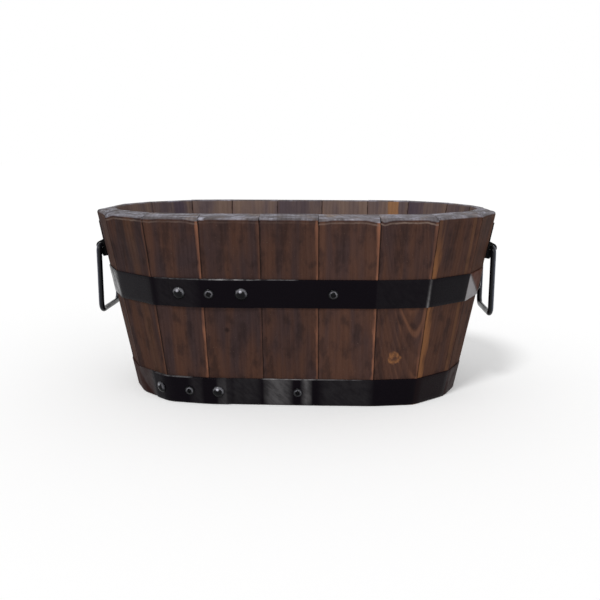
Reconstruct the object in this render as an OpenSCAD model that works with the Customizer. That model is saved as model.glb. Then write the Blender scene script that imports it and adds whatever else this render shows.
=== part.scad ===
// Oval wooden barrel planter: twenty leaning staves round a three-board base, held by two lapped
// steel hoops, with a swinging bail handle in an eared bracket at each end.
// Millimetres, +Z up. The origin is on the floor under the middle of the tub, X runs along its
// length and the side with the hoop laps faces -Y.

/* [Tub] */
// Height of the tub, from the floor to the highest edge of the rim
tub_h = 202; // [160:1:260]
// Lean of every wall, outwards towards the rim, in degrees
wall_lean = 10.7; // [7:0.1:13]
// Thickness of a stave
stave_t = 18; // [15:0.5:22]
// Gap between neighbouring staves
seam_gap = 0.2; // [0.1:0.05:0.6]
// Radius of the outer edge of the rim
rim_round = 3; // [1:0.5:6]
// Radius of the inner edge of the rim
rim_ease = 1.5; // [0.5:0.5:4]

/* [Staves] */
// Width at the rim of the stave in the middle of each long side
middle_stave_w = 57; // [45:0.5:70]
// Width at the rim of the staves next to the middle one
side_stave_w = 59.5; // [45:0.5:70]
// Width at the rim of the staves where the long side starts to turn
turning_stave_w = 57.7; // [50:0.1:70]
// Width at the rim of the staves on the tub's four corners
corner_stave_w = 66.2; // [58:0.1:78]
// Width at the rim of the staves beside the end stave
shoulder_stave_w = 54.6; // [48:0.1:66]
// Width at the rim of the stave on each end, which carries a handle
end_stave_w = 61; // [59:0.5:75]
// Direction that a side stave faces, from straight ahead, in degrees
side_facing = 0.8; // [0:0.1:4]
// Direction that a turning stave faces, in degrees
turning_facing = 9.2; // [6:0.1:16]
// Direction that a corner stave faces, in degrees
corner_facing = 41.6; // [34:0.1:48]
// Direction that a shoulder stave faces, in degrees
shoulder_facing = 65.1; // [58:0.1:72]

/* [Base] */
// Height of the base boards' underside above the floor
base_z = 16; // [8:1:30]
// Thickness of the base boards
base_t = 12; // [9:0.5:18]
// Least depth of the groove in the staves that holds the base
groove_d = 6; // [3:0.5:8]
// Number of base boards, side by side across the tub
board_count = 3; // [2:1:4]
// Gap between neighbouring base boards
board_gap = 0.3; // [0.2:0.1:1]
// Distance between the dowels that join two boards
dowel_pitch = 160; // [60:5:200]
// Diameter of the base dowels
dowel_dia = 6; // [4:0.5:8]
// Length of the base dowels
dowel_len = 36; // [20:1:44]
// Diameter of the drain holes
drain_dia = 12; // [8:0.5:18]
// Distance between the drain holes
drain_pitch = 110; // [50:5:130]

/* [Hoops] */
// Width of the hoop strap
strap_w = 30; // [20:1:36]
// Thickness of the hoop strap
strap_t = 1.2; // [0.8:0.1:2]
// Height of the bottom hoop's lower edge
bottom_hoop_z = 1; // [0.5:0.1:10]
// Drop from the rim to the middle hoop's upper edge
middle_hoop_drop = 64; // [60:0.5:90]
// Diameter of the domed rivet heads
rivet_head_dia = 13.5; // [8:0.5:14]
// Height of the domed rivet heads
rivet_head_h = 3.7; // [2:0.1:4.5]
// Diameter of the rivet shanks
rivet_dia = 5; // [3:0.5:7]

/* [Screws] */
// Diameter of the screw heads
screw_head_dia = 10; // [7:0.1:11]
// Height of the screw heads
screw_head_h = 2.9; // [1.8:0.1:3.4]
// Diameter of the screw shanks
screw_dia = 3.5; // [2.5:0.1:4.5]
// Length of the screws under the head
screw_len = 11; // [8:0.5:11.5]

/* [Handles] */
// Diameter of the handle's rod
rod_dia = 6; // [4:0.5:7]
// Drop from the pivot to the middle of the grip
handle_drop = 72.5; // [50:0.5:90]
// Drop from the rim to the pivot
pivot_drop = 42.8; // [41:0.1:48]
// Distance of the pivot from the wall
pivot_out = 5.8; // [5.6:0.1:9]
// Middle radius of the bends at the pivot
pivot_bend_r = 6; // [5:0.5:9]
// Middle radius of the bends at the grip
grip_bend_r = 9; // [5:0.5:14]
// Thickness of the bracket's steel
bracket_t = 1.6; // [1:0.1:2]
// Width of the bracket, over its two ears
bracket_w = 54; // [40:0.5:55]
// Height of the bracket above the pivot
bracket_up = 27; // [18:0.5:30]
// Depth of the bracket below the pivot
bracket_down = 12.5; // [8:0.5:14]
// Width of metal round the pivot hole
ear_rim = 1.8; // [1.2:0.1:3]
// Distance between the two screws of a bracket
bracket_screw_pitch = 28; // [14:1:34]
// Width of metal between a bracket's screw heads and its upper edge
bracket_edge = 2; // [1.5:0.5:5]

/* [Clearances] */
// Clearance round pieces that don't move in their seats
seat_clear = 0.1; // [0.05:0.05:0.2]
// Clearance round shanks and dowels in their holes
hole_clear = 0.05; // [0.05:0.01:0.1]
// Clearance between a handle's rod and its ear, all round
pivot_clear = 0.1; // [0.05:0.01:0.1]
// Side clearance between a handle's bend and its ear
ear_clear = 0.5; // [0.3:0.1:1]

/* [Hidden] */
$fn = 48;
STAVES = 20;

// A length that reaches past every cut
far = 800;
// How far a cutter passes the surface that it cuts
past = 1;

// Staves run anticlockwise from the middle of the front, seen from above. A quarter of the ring is
// given, from the middle of a long side (0) to the middle of an end (5), and is mirrored twice.
LEFT_END = 15;
RIGHT_END = 5;
quarter_facing = [0, side_facing, turning_facing, corner_facing, shoulder_facing, 90];
quarter_w = [middle_stave_w, side_stave_w, turning_stave_w, corner_stave_w, shoulder_stave_w,
  end_stave_w];
function ring(k) = (k + STAVES) % STAVES;
function quarter(k) = ring(k) <= 5 ? ring(k) : ring(k) <= 10 ? 10 - ring(k)
  : ring(k) <= 15 ? ring(k) - 10 : STAVES - ring(k);
function facing(k) = ring(k) <= 5 ? quarter_facing[quarter(k)]
  : ring(k) <= 10 ? 180 - quarter_facing[quarter(k)]
  : ring(k) <= 15 ? 180 + quarter_facing[quarter(k)] : 360 - quarter_facing[quarter(k)];
function outward(k) = [sin(facing(k)), -cos(facing(k))];
function along(k) = [cos(facing(k)), sin(facing(k))];
function width(k) = quarter_w[quarter(k)];

// Seams at the outer edge of the rim, in plan: seam k is where stave k starts
rim_half_d = end_stave_w / 2 + sum([for (k = [1:4]) width(k) * sin(facing(k))]);
function sum(list, i = 0) = i < len(list) ? list[i] + sum(list, i + 1) : 0;
seams = [for (k = 0, p = [-middle_stave_w / 2, -rim_half_d]; k < STAVES;
  p = p + width(k) * along(k), k = k + 1) p];

// Every wall leans the same, so the ring at another height is the rim moved in by one distance
edge_z = tub_h - stave_t * sin(wall_lean) + rim_ease * (sin(wall_lean) + cos(wall_lean) - 1);
wall_plan_t = stave_t / cos(wall_lean);
function inset(z) = (edge_z - z) * tan(wall_lean);
function seam_at(k, in) = seams[ring(k)]
  - in * (outward(k - 1) + outward(k)) / (1 + outward(k - 1) * outward(k));
function ring_at(in) = [for (k = [0:STAVES - 1]) seam_at(k, in)];
function wall_point(k, u, z) = (seams[ring(k)] + seams[ring(k + 1)]) / 2 + u * along(k)
  - inset(z) * outward(k);

// Base
groove_in = inset(base_z + base_t) + wall_plan_t - groove_d;
base_in = groove_in + seat_clear;
base_half_d = -ring_at(base_in)[0][1];
board_w = 2 * base_half_d / board_count;

// Hoops. Rivets and screws are listed as [stave, place along it, place up the strap, straps under
// the head], and a lap runs from one [stave, place along it] to another. A place is a share of the
// stave's width or the strap's width, from its middle.
hoop_out = seat_clear;
strap_rise = strap_w * cos(wall_lean);
middle_hoop_z = tub_h - middle_hoop_drop - strap_rise;
middle_lap = [[18, -0.095], [19, 0.32]];
middle_rivets = [[18, 0.062, 0, 2], [19, 0.174, 0, 2]];
middle_screws = [[19, -0.37, 0, 2], [1, -0.244, 0, 1], [5, -0.328, -0.2, 1], [9, -0.202, 0, 1],
  [11, 0.269, 0, 1], [15, -0.262, -0.133, 1]];
bottom_lap = [[17, 0.015], [19, -0.14]];
bottom_rivets = [[17, 0.2, 0, 2], [19, -0.299, 0, 2]];
bottom_screws = [[18, 0.092, 0, 2], [0, 0.132, 0, 1], [5, 0.092, 0, 1], [8, -0.104, 0, 1],
  [11, -0.235, 0, 1], [14, 0.073, 0, 1]];
function strap_seat(straps) = hoop_out + straps * strap_t;

// Handles and brackets. A bracket's ears stand at its two sides.
pivot_z = tub_h - pivot_drop;
pivot_wall_z = pivot_z + pivot_out * sin(wall_lean);
pivot_x = wall_point(RIGHT_END, 0, pivot_wall_z)[0] + pivot_out * cos(wall_lean);
rod_r = rod_dia / 2;
leg_y = bracket_w / 2 + ear_clear + pivot_bend_r;
ear_nose_r = rod_r + pivot_clear + ear_rim;
stub_in = bracket_w / 2 - bracket_t - rod_dia;
bracket_screw_up = bracket_up - screw_head_dia / 2 - bracket_edge;

stain = [0.24, 0.16, 0.11];
bare_wood = [0.45, 0.31, 0.19];
black_steel = [0.09, 0.09, 0.10];

// Puts its children on the outer face of a stave: X along the stave's width, Z up its slope and -Y
// straight out of the wall
module on_wall(k, u, z) {
  at = wall_point(k, u, z);
  translate([at[0], at[1], z]) rotate([0, 0, facing(k)]) rotate([wall_lean, 0, 0]) children();
}

// Puts its children where a listed rivet or screw of a hoop goes into the wall
module on_strap(hoop_z, place) {
  on_wall(place[0], place[1] * width(place[0]), hoop_z + (place[2] + 0.5) * strap_rise) children();
}

// The upright wedge of space between a stave's two seams
module wedge(k, gap) {
  near = -stave_t;
  deep = inset(0) + wall_plan_t + past;
  side = gap / 2 * along(k);
  linear_extrude(tub_h + past)
    polygon([seam_at(k, near) + side, seam_at(k + 1, near) - side,
      seam_at(k + 1, deep) - side, seam_at(k, deep) + side]);
}

// Takes the square edge off a board along X, where its top meets its face
module rounding(r) {
  difference() {
    translate([-far / 2, -past, -r]) cube([far, r + past, r + past]);
    translate([0, r, -r]) rotate([0, 90, 0]) cylinder(r = r, h = far + past, center = true);
  }
}

// A plain board with an eased top, leaning on its wall's plane
module leaning_board(k) {
  on_wall(k, 0, edge_z) difference() {
    translate([-far / 2, 0, -far]) cube([far, stave_t, far]);
    rounding(rim_round);
    translate([0, stave_t, 0]) mirror([0, 1, 0]) rounding(rim_ease);
  }
}

// The level slot that takes the edge of the base
module base_groove(k) {
  at = wall_point(k, 0, edge_z) - groove_in * outward(k);
  translate([at[0], at[1], base_z - seat_clear]) rotate([0, 0, facing(k)])
    translate([-far / 2, 0, 0]) cube([far, far, base_t + 2 * seat_clear]);
}

// A hole of radius r and depth d into the wall, or through what lies on it by the height out
module wall_hole(r, d, out = 0) {
  translate([0, -out - past, 0]) rotate([-90, 0, 0]) cylinder(r = r, h = d + out + past);
}

module stave(k) {
  color(stain) difference() {
    intersection() {
      leaning_board(k);
      wedge(k, seam_gap);
    }
    base_groove(k);
    for (s = middle_screws) if (s[0] == k) on_strap(middle_hoop_z, s)
      wall_hole(screw_dia / 2 + hole_clear, screw_len - strap_seat(s[3]) + seat_clear);
    for (s = bottom_screws) if (s[0] == k) on_strap(bottom_hoop_z, s)
      wall_hole(screw_dia / 2 + hole_clear, screw_len - strap_seat(s[3]) + seat_clear);
    if (k == LEFT_END || k == RIGHT_END)
      on_wall(k, 0, pivot_wall_z) for (side = [-1, 1])
        translate([side * bracket_screw_pitch / 2, 0, bracket_screw_up])
          wall_hole(screw_dia / 2 + hole_clear, screw_len - bracket_t);
  }
}

// Dowel holes and dowels lie across the joints between the boards, at half their thickness
module dowels(r, len) {
  for (joint = [1:board_count - 1], side = [-1, 1])
    translate([side * dowel_pitch / 2, -base_half_d + joint * board_w, base_z + base_t / 2])
      rotate([90, 0, 0]) cylinder(r = r, h = len, center = true);
}

module base_board(b) {
  color(bare_wood) difference() {
    intersection() {
      translate([0, 0, base_z]) linear_extrude(base_t) polygon(ring_at(base_in));
      translate([-far, -base_half_d + (b - 1) * board_w + board_gap / 2, 0])
        cube([2 * far, board_w - board_gap, far]);
    }
    dowels(dowel_dia / 2 + hole_clear, dowel_len + 2 * seat_clear);
    if (b == ceil(board_count / 2)) {
      y = -base_half_d + (b - 0.5) * board_w;
      for (i = [-1:1]) translate([i * drain_pitch, y, base_z - past])
        cylinder(d = drain_dia, h = base_t + 2 * past);
    }
  }
}

module base_dowels() {
  color(bare_wood) dowels(dowel_dia / 2, dowel_len);
}

// Everything inside the walls moved out by a distance, between two heights
module within_walls(out, z, rise) {
  intersection() {
    translate([-far, -far, z]) cube([2 * far, 2 * far, rise]);
    intersection_for(k = [0:STAVES - 1])
      on_wall(k, 0, edge_z) translate([-far, -out, -far]) cube([2 * far, 2 * far, 2 * far]);
  }
}

// The part of the ring, in plan, over which a strap lies on its own end
module lap_sector(lap) {
  start = lap[0];
  end = lap[1];
  reach = 2 * stave_t;
  from = wall_point(start[0], start[1] * width(start[0]), edge_z);
  to = wall_point(end[0], end[1] * width(end[0]), edge_z);
  linear_extrude(tub_h) polygon([
    from + reach * outward(start[0]), to + reach * outward(end[0]),
    to - 2 * reach * outward(end[0]), from - 2 * reach * outward(start[0])]);
}

module hoop(hoop_z, lap, rivets, screws) {
  color(black_steel) difference() {
    union() {
      within_walls(hoop_out + strap_t, hoop_z, strap_rise);
      intersection() {
        within_walls(hoop_out + 2 * strap_t, hoop_z, strap_rise);
        lap_sector(lap);
      }
    }
    within_walls(hoop_out, hoop_z - past, strap_rise + 2 * past);
    for (r = rivets) on_strap(hoop_z, r)
      wall_hole(rivet_dia / 2 + hole_clear, past, strap_seat(r[3]));
    for (s = screws) on_strap(hoop_z, s)
      wall_hole(screw_dia / 2 + hole_clear, past, strap_seat(s[3]));
  }
}

// A domed head on a plain shank that ends flush with the strap's inner side
module rivet(straps) {
  ball_r = (pow(rivet_head_dia / 2, 2) + pow(rivet_head_h, 2)) / (2 * rivet_head_h);
  translate([0, -strap_seat(straps), 0]) rotate([90, 0, 0]) union() {
    intersection() {
      translate([0, 0, rivet_head_h - ball_r]) sphere(r = ball_r);
      cylinder(d = rivet_head_dia, h = rivet_head_h + past);
    }
    translate([0, 0, -straps * strap_t]) cylinder(d = rivet_dia, h = straps * strap_t + past);
  }
}

module rivets_on(hoop_z, rivets) {
  color(black_steel) for (r = rivets) on_strap(hoop_z, r) rivet(r[3]);
}

// A pan head with a cross recess on a pointed shank
module screw() {
  rim_h = screw_head_h * 0.35;
  point_l = screw_dia * 0.86;
  dome_r = (pow(screw_head_dia / 2, 2) + pow(screw_head_h - rim_h, 2)) / (2 * (screw_head_h - rim_h));
  slot_w = screw_head_dia * 0.13;
  slot_l = screw_head_dia * 0.56;
  slot_d = screw_head_h * 0.5;
  difference() {
    union() {
      cylinder(d = screw_head_dia, h = rim_h);
      translate([0, 0, rim_h]) intersection() {
        translate([0, 0, screw_head_h - rim_h - dome_r]) sphere(r = dome_r);
        cylinder(d = screw_head_dia, h = screw_head_h);
      }
      translate([0, 0, point_l - screw_len]) cylinder(d = screw_dia, h = screw_len - point_l + rim_h / 2);
      translate([0, 0, -screw_len]) cylinder(d1 = screw_dia / 6, d2 = screw_dia, h = point_l);
    }
    for (turn = [0, 90]) rotate([0, 0, turn + 20])
      translate([-slot_l / 2, -slot_w / 2, screw_head_h - slot_d]) cube([slot_l, slot_w, slot_d + past]);
  }
}

module screws_on(hoop_z, screws) {
  color(black_steel) for (s = screws) on_strap(hoop_z, s)
    translate([0, -strap_seat(s[3]), 0]) rotate([90, 0, 0]) screw();
}

// An ear's outline, with X out from the wall and Y up the wall: square below and round at the nose
module ear_outline() {
  root = hoop_out;
  lower_out = pivot_out * 0.9;
  union() {
    polygon([[root, ear_nose_r * 1.4], [root, -bracket_down], [lower_out, -bracket_down],
      [pivot_out + ear_nose_r * cos(30), -ear_nose_r * sin(30)], [pivot_out, 0],
      [pivot_out, ear_nose_r]]);
    translate([pivot_out, 0]) circle(r = ear_nose_r);
  }
}

// A plate screwed to the end stave, with an ear turned out at each side for the handle's rod
module bracket(k) {
  color(black_steel) on_wall(k, 0, pivot_wall_z) difference() {
    union() {
      translate([-bracket_w / 2, -hoop_out - bracket_t, -bracket_down])
        cube([bracket_w, bracket_t, bracket_down + bracket_up]);
      for (side = [-1, 1])
        translate([side * (bracket_w - bracket_t) / 2, 0, 0]) rotate([0, 0, -90]) rotate([90, 0, 0])
          linear_extrude(bracket_t, center = true) ear_outline();
    }
    translate([0, -pivot_out, 0]) rotate([0, 90, 0])
      cylinder(r = rod_r + pivot_clear, h = bracket_w + 2 * past, center = true);
    for (side = [-1, 1]) translate([side * bracket_screw_pitch / 2, 0, bracket_screw_up])
      wall_hole(screw_dia / 2 + hole_clear, past, hoop_out + bracket_t);
  }
}

module bracket_screws(k) {
  color(black_steel) on_wall(k, 0, pivot_wall_z) for (side = [-1, 1])
    translate([side * bracket_screw_pitch / 2, -hoop_out - bracket_t, bracket_screw_up])
      rotate([90, 0, 0]) screw();
}

// A quarter bend of the rod round [y, z], which starts at an angle from +Y and turns towards +Z
module rod_bend(y, z, r, start) {
  translate([0, y, z]) rotate([90, 0, 90]) rotate([0, 0, start])
    rotate_extrude(angle = 90) translate([r, 0]) circle(r = rod_r);
}

// One half of a handle, on its +Y side: the stub in the ear, the leg and half of the grip
module half_handle() {
  stub_end = leg_y - pivot_bend_r;
  grip_end = leg_y - grip_bend_r;
  leg_top = -pivot_bend_r;
  leg_foot = grip_bend_r - handle_drop;
  translate([0, stub_in, 0]) rotate([-90, 0, 0]) cylinder(r = rod_r, h = stub_end - stub_in);
  rod_bend(stub_end, leg_top, pivot_bend_r, 0);
  translate([0, leg_y, leg_foot]) cylinder(r = rod_r, h = leg_top - leg_foot);
  rod_bend(grip_end, leg_foot, grip_bend_r, -90);
  translate([0, 0, -handle_drop]) rotate([-90, 0, 0]) cylinder(r = rod_r, h = grip_end);
}

module handle(side) {
  color(black_steel) translate([side * pivot_x, 0, pivot_z]) union() {
    half_handle();
    mirror([0, 1, 0]) half_handle();
  }
}

for (k = [1:STAVES]) stave(k - 1);
for (b = [1:board_count]) base_board(b);
base_dowels();
hoop(middle_hoop_z, middle_lap, middle_rivets, middle_screws);  // middle_hoop
rivets_on(middle_hoop_z, middle_rivets);  // middle_hoop_rivets
screws_on(middle_hoop_z, middle_screws);  // middle_hoop_screws
hoop(bottom_hoop_z, bottom_lap, bottom_rivets, bottom_screws);  // bottom_hoop
rivets_on(bottom_hoop_z, bottom_rivets);  // bottom_hoop_rivets
screws_on(bottom_hoop_z, bottom_screws);  // bottom_hoop_screws
bracket(LEFT_END);  // left_bracket
bracket_screws(LEFT_END);  // left_bracket_screws
handle(-1);  // left_handle
bracket(RIGHT_END);  // right_bracket
bracket_screws(RIGHT_END);  // right_bracket_screws
handle(1);  // right_handle
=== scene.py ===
"""Looks of an oval wooden barrel planter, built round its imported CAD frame.

Everything is in metres, in the frame of the CAD: +Z up, the origin on the floor under the middle of
the tub, X along its length, and the side with the hoop laps facing -Y. Staves are counted
anticlockwise from the middle of the front, seen from above.
"""

import logging
import math
from collections.abc import Callable, Iterator
from contextlib import contextmanager
from dataclasses import dataclass, field
from enum import Enum
from functools import cached_property
from typing import Union

import bmesh
import bpy
import numpy as np
from mathutils import Matrix, Vector

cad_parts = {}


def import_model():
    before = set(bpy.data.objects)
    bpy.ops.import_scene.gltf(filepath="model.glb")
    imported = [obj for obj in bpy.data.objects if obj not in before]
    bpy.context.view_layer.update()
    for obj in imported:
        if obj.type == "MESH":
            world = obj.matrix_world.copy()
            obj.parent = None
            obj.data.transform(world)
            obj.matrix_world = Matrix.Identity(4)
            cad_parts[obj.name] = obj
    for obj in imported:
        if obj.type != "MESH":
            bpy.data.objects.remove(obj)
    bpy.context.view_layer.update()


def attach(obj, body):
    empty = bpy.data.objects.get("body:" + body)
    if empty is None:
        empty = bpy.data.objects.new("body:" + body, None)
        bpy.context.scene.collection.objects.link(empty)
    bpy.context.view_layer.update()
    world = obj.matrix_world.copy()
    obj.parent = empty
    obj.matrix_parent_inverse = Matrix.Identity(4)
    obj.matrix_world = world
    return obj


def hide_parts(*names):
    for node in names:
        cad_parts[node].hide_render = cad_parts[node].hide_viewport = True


LOG = logging.getLogger("planter")
MM = 0.001
SAME_PLACE = 1e-6

Number = Union["Value", float]
Colour = tuple[float, float, float, float]
Triple = tuple[float, float, float]
Gate = tuple[Vector, Vector]
Piece = bpy.types.Object
Tree = bpy.types.NodeTree
Socket = bpy.types.NodeSocket


def stain(red: int, green: int, blue: int) -> Colour:
    """Turns a colour as it is seen on a screen, 0 to 255, into the linear colour of a socket.

    Args:
        red: Red of the seen colour.
        green: Green of the seen colour.
        blue: Blue of the seen colour.

    Returns:
        The linear colour, with an alpha of 1.
    """
    def linear(value: float) -> float:
        """Turns one part of the seen colour into a linear one."""
        share = value / 255
        return share / 12.92 if share <= 0.04045 else ((share + 0.055) / 1.055) ** 2.4

    return linear(red), linear(green), linear(blue), 1.0


def spread(number: int, step: float = 0.618) -> float:
    """Spreads shares from 0 to 1 evenly over consecutive numbers, out of their order."""
    return number * step % 1


class Part(Enum):
    """The kinds of mesh element that can be picked."""

    VERT = "VERT"
    EDGE = "EDGE"
    FACE = "FACE"


class Bench:
    """The modelling moves that the pieces share."""

    @staticmethod
    def clear() -> None:
        """Leaves edit mode and deselects every object."""
        if bpy.context.mode != "OBJECT":
            bpy.ops.object.mode_set(mode="OBJECT")
        bpy.ops.object.select_all(action="DESELECT")

    @staticmethod
    def hold(piece: Piece) -> None:
        """Makes one piece the only selected object and the active one.

        Args:
            piece: The piece.
        """
        Bench.clear()
        piece.select_set(True)
        bpy.context.view_layer.objects.active = piece

    @staticmethod
    def named(name: str) -> Piece:
        """Names the active object, which an operator has just added.

        Args:
            name: Its name.

        Returns:
            The object.
        """
        piece = bpy.context.object
        piece.name = name
        piece.data.name = name
        return piece

    @staticmethod
    def settle(piece: Piece) -> None:
        """Puts a piece's place into its mesh."""
        Bench.hold(piece)
        bpy.ops.object.transform_apply(location=True, rotation=True, scale=True)

    @staticmethod
    def block(name: str, size: Triple, place: Matrix) -> Piece:
        """Adds a block at its size and place.

        Args:
            name: Name of the piece.
            size: Its sides along its own axes.
            place: Where its middle goes and how it is turned.

        Returns:
            The block, with its place in its mesh.
        """
        Bench.clear()
        bpy.ops.mesh.primitive_cube_add(size=1, location=place.translation,
                                        rotation=place.to_euler(), scale=size)
        piece = Bench.named(name)
        Bench.settle(piece)
        return piece

    @staticmethod
    @contextmanager
    def editing(piece: Piece) -> Iterator[None]:
        """Holds a piece in edit mode while its block runs.

        Args:
            piece: The piece to shape.

        Yields:
            Nothing.
        """
        Bench.hold(piece)
        bpy.ops.object.mode_set(mode="EDIT")
        bpy.ops.mesh.select_mode(type=Part.FACE.value)
        yield
        bpy.ops.object.mode_set(mode="OBJECT")

    @staticmethod
    def pick(part: Part, test: Callable[..., bool]) -> int:
        """Selects the elements of the mesh in edit mode that pass a test.

        Args:
            part: Which kind of element is picked.
            test: Gets a vertex's place, an edge's middle and run, or a face's middle and normal.

        Returns:
            How many elements are selected.
        """
        bpy.ops.mesh.select_mode(type=part.value)
        bpy.ops.mesh.select_all(action="DESELECT")
        mesh = bpy.context.object.data
        edit = bmesh.from_edit_mesh(mesh)
        edit.normal_update()
        elements, tested = {
            Part.VERT: (edit.verts, lambda vert: (vert.co,)),
            Part.EDGE: (edit.edges, lambda edge: ((edge.verts[0].co + edge.verts[1].co) / 2,
                                                  edge.verts[1].co - edge.verts[0].co)),
            Part.FACE: (edit.faces, lambda face: (face.calc_center_median(), face.normal)),
        }[part]
        count = 0
        for element in elements:
            element.select = test(*tested(element))
            count += element.select
        edit.select_flush_mode()
        bmesh.update_edit_mesh(mesh)
        return count

    @staticmethod
    def slit(point: Vector, normal: Vector, drop: bool = False) -> None:
        """Cuts what is picked of the mesh in edit mode by a plane.

        Args:
            point: A point of the plane.
            normal: The plane's normal.
            drop: Whether what the normal points at is removed and the cut is closed.
        """
        bpy.ops.mesh.bisect(plane_co=point, plane_no=normal, use_fill=drop, clear_outer=drop,
                            threshold=SAME_PLACE)

    @staticmethod
    def cut(point: Vector, normal: Vector, drop: bool = True) -> None:
        """Cuts the whole mesh in edit mode by a plane, as slit does."""
        bpy.ops.mesh.select_all(action="SELECT")
        Bench.slit(point, normal, drop)

    @staticmethod
    def draw(move: Vector | Triple) -> None:
        """Draws the picked faces of the mesh in edit mode out by a move."""
        bpy.ops.mesh.extrude_region_move(TRANSFORM_OT_translate={"value": move})

    @staticmethod
    def modify(piece: Piece, kind: str, **settings: object) -> None:
        """Adds a modifier to a piece and applies it.

        Args:
            piece: The piece to finish.
            kind: The modifier's type.
            **settings: The modifier's own settings.
        """
        Bench.hold(piece)
        modifier = piece.modifiers.new(kind.title(), kind)
        for key, value in settings.items():
            setattr(modifier, key, value)
        bpy.ops.object.modifier_apply(modifier=modifier.name)

    @staticmethod
    def soften(piece: Piece, width: float, segments: int = 2, angle: float = 30) -> None:
        """Takes the sharp edges off a piece and shades it smooth between what edges are left.

        Args:
            piece: The piece to finish.
            width: Width of the bevels.
            segments: Faces across each bevel.
            angle: Least angle of an edge that is softened, in degrees.
        """
        Bench.modify(piece, "BEVEL", width=width, segments=segments, limit_method="ANGLE",
                     angle_limit=math.radians(angle), miter_outer="MITER_ARC")
        Bench.smooth(piece, angle)

    @staticmethod
    def smooth(piece: Piece, angle: float = 30) -> None:
        """Shades a piece smooth, but for edges sharper than an angle in degrees."""
        Bench.hold(piece)
        bpy.ops.object.shade_smooth_by_angle(angle=math.radians(angle))

    @staticmethod
    def outwards(piece: Piece) -> None:
        """Merges a piece's doubles and points its faces outwards.

        Args:
            piece: The piece.
        """
        with Bench.editing(piece):
            bpy.ops.mesh.select_all(action="SELECT")
            bpy.ops.mesh.remove_doubles(threshold=SAME_PLACE)
            bpy.ops.mesh.normals_make_consistent(inside=False)

    @staticmethod
    def copied(piece: Piece, place: Matrix) -> Piece:
        """Copies a piece, with a mesh of its own, and puts its place into that mesh.

        Args:
            piece: The piece to copy.
            place: Where the copy goes.

        Returns:
            The copy.
        """
        Bench.hold(piece)
        bpy.ops.object.duplicate(linked=False)
        copy = bpy.context.object
        copy.matrix_world = place @ copy.matrix_world
        Bench.settle(copy)
        return copy

    @staticmethod
    def joined(pieces: list[Piece], name: str) -> Piece:
        """Joins pieces into one.

        Args:
            pieces: The pieces, which all become part of the first.
            name: The joined piece's name.

        Returns:
            The joined piece.
        """
        Bench.hold(pieces[0])
        for piece in pieces:
            piece.select_set(True)
        if len(pieces) > 1:
            bpy.ops.object.join()
        return Bench.named(name)

    @staticmethod
    def combined(piece: Piece, other: Piece, operation: str = "DIFFERENCE") -> None:
        """Takes the shape of another piece out of a piece or adds it, and removes the other."""
        Bench.modify(piece, "BOOLEAN", operation=operation, solver="EXACT", object=other)
        bpy.data.objects.remove(other)

    @staticmethod
    def hand_in(piece: Piece, body: str, slot: str, finish: bpy.types.Material,
                *nodes: str) -> None:
        """Dresses a finished piece and ties it to the frame.

        Args:
            piece: The finished piece.
            body: The CAD body that it moves with.
            slot: The name of a material slot; not used.
            finish: Its material.
            *nodes: The CAD nodes that it takes the place of.
        """
        piece.data.materials.clear()
        piece.data.materials.append(finish)
        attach(piece, body)
        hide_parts(*nodes)
        LOG.info("%s: %d faces", piece.name, len(piece.data.polygons))


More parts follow.
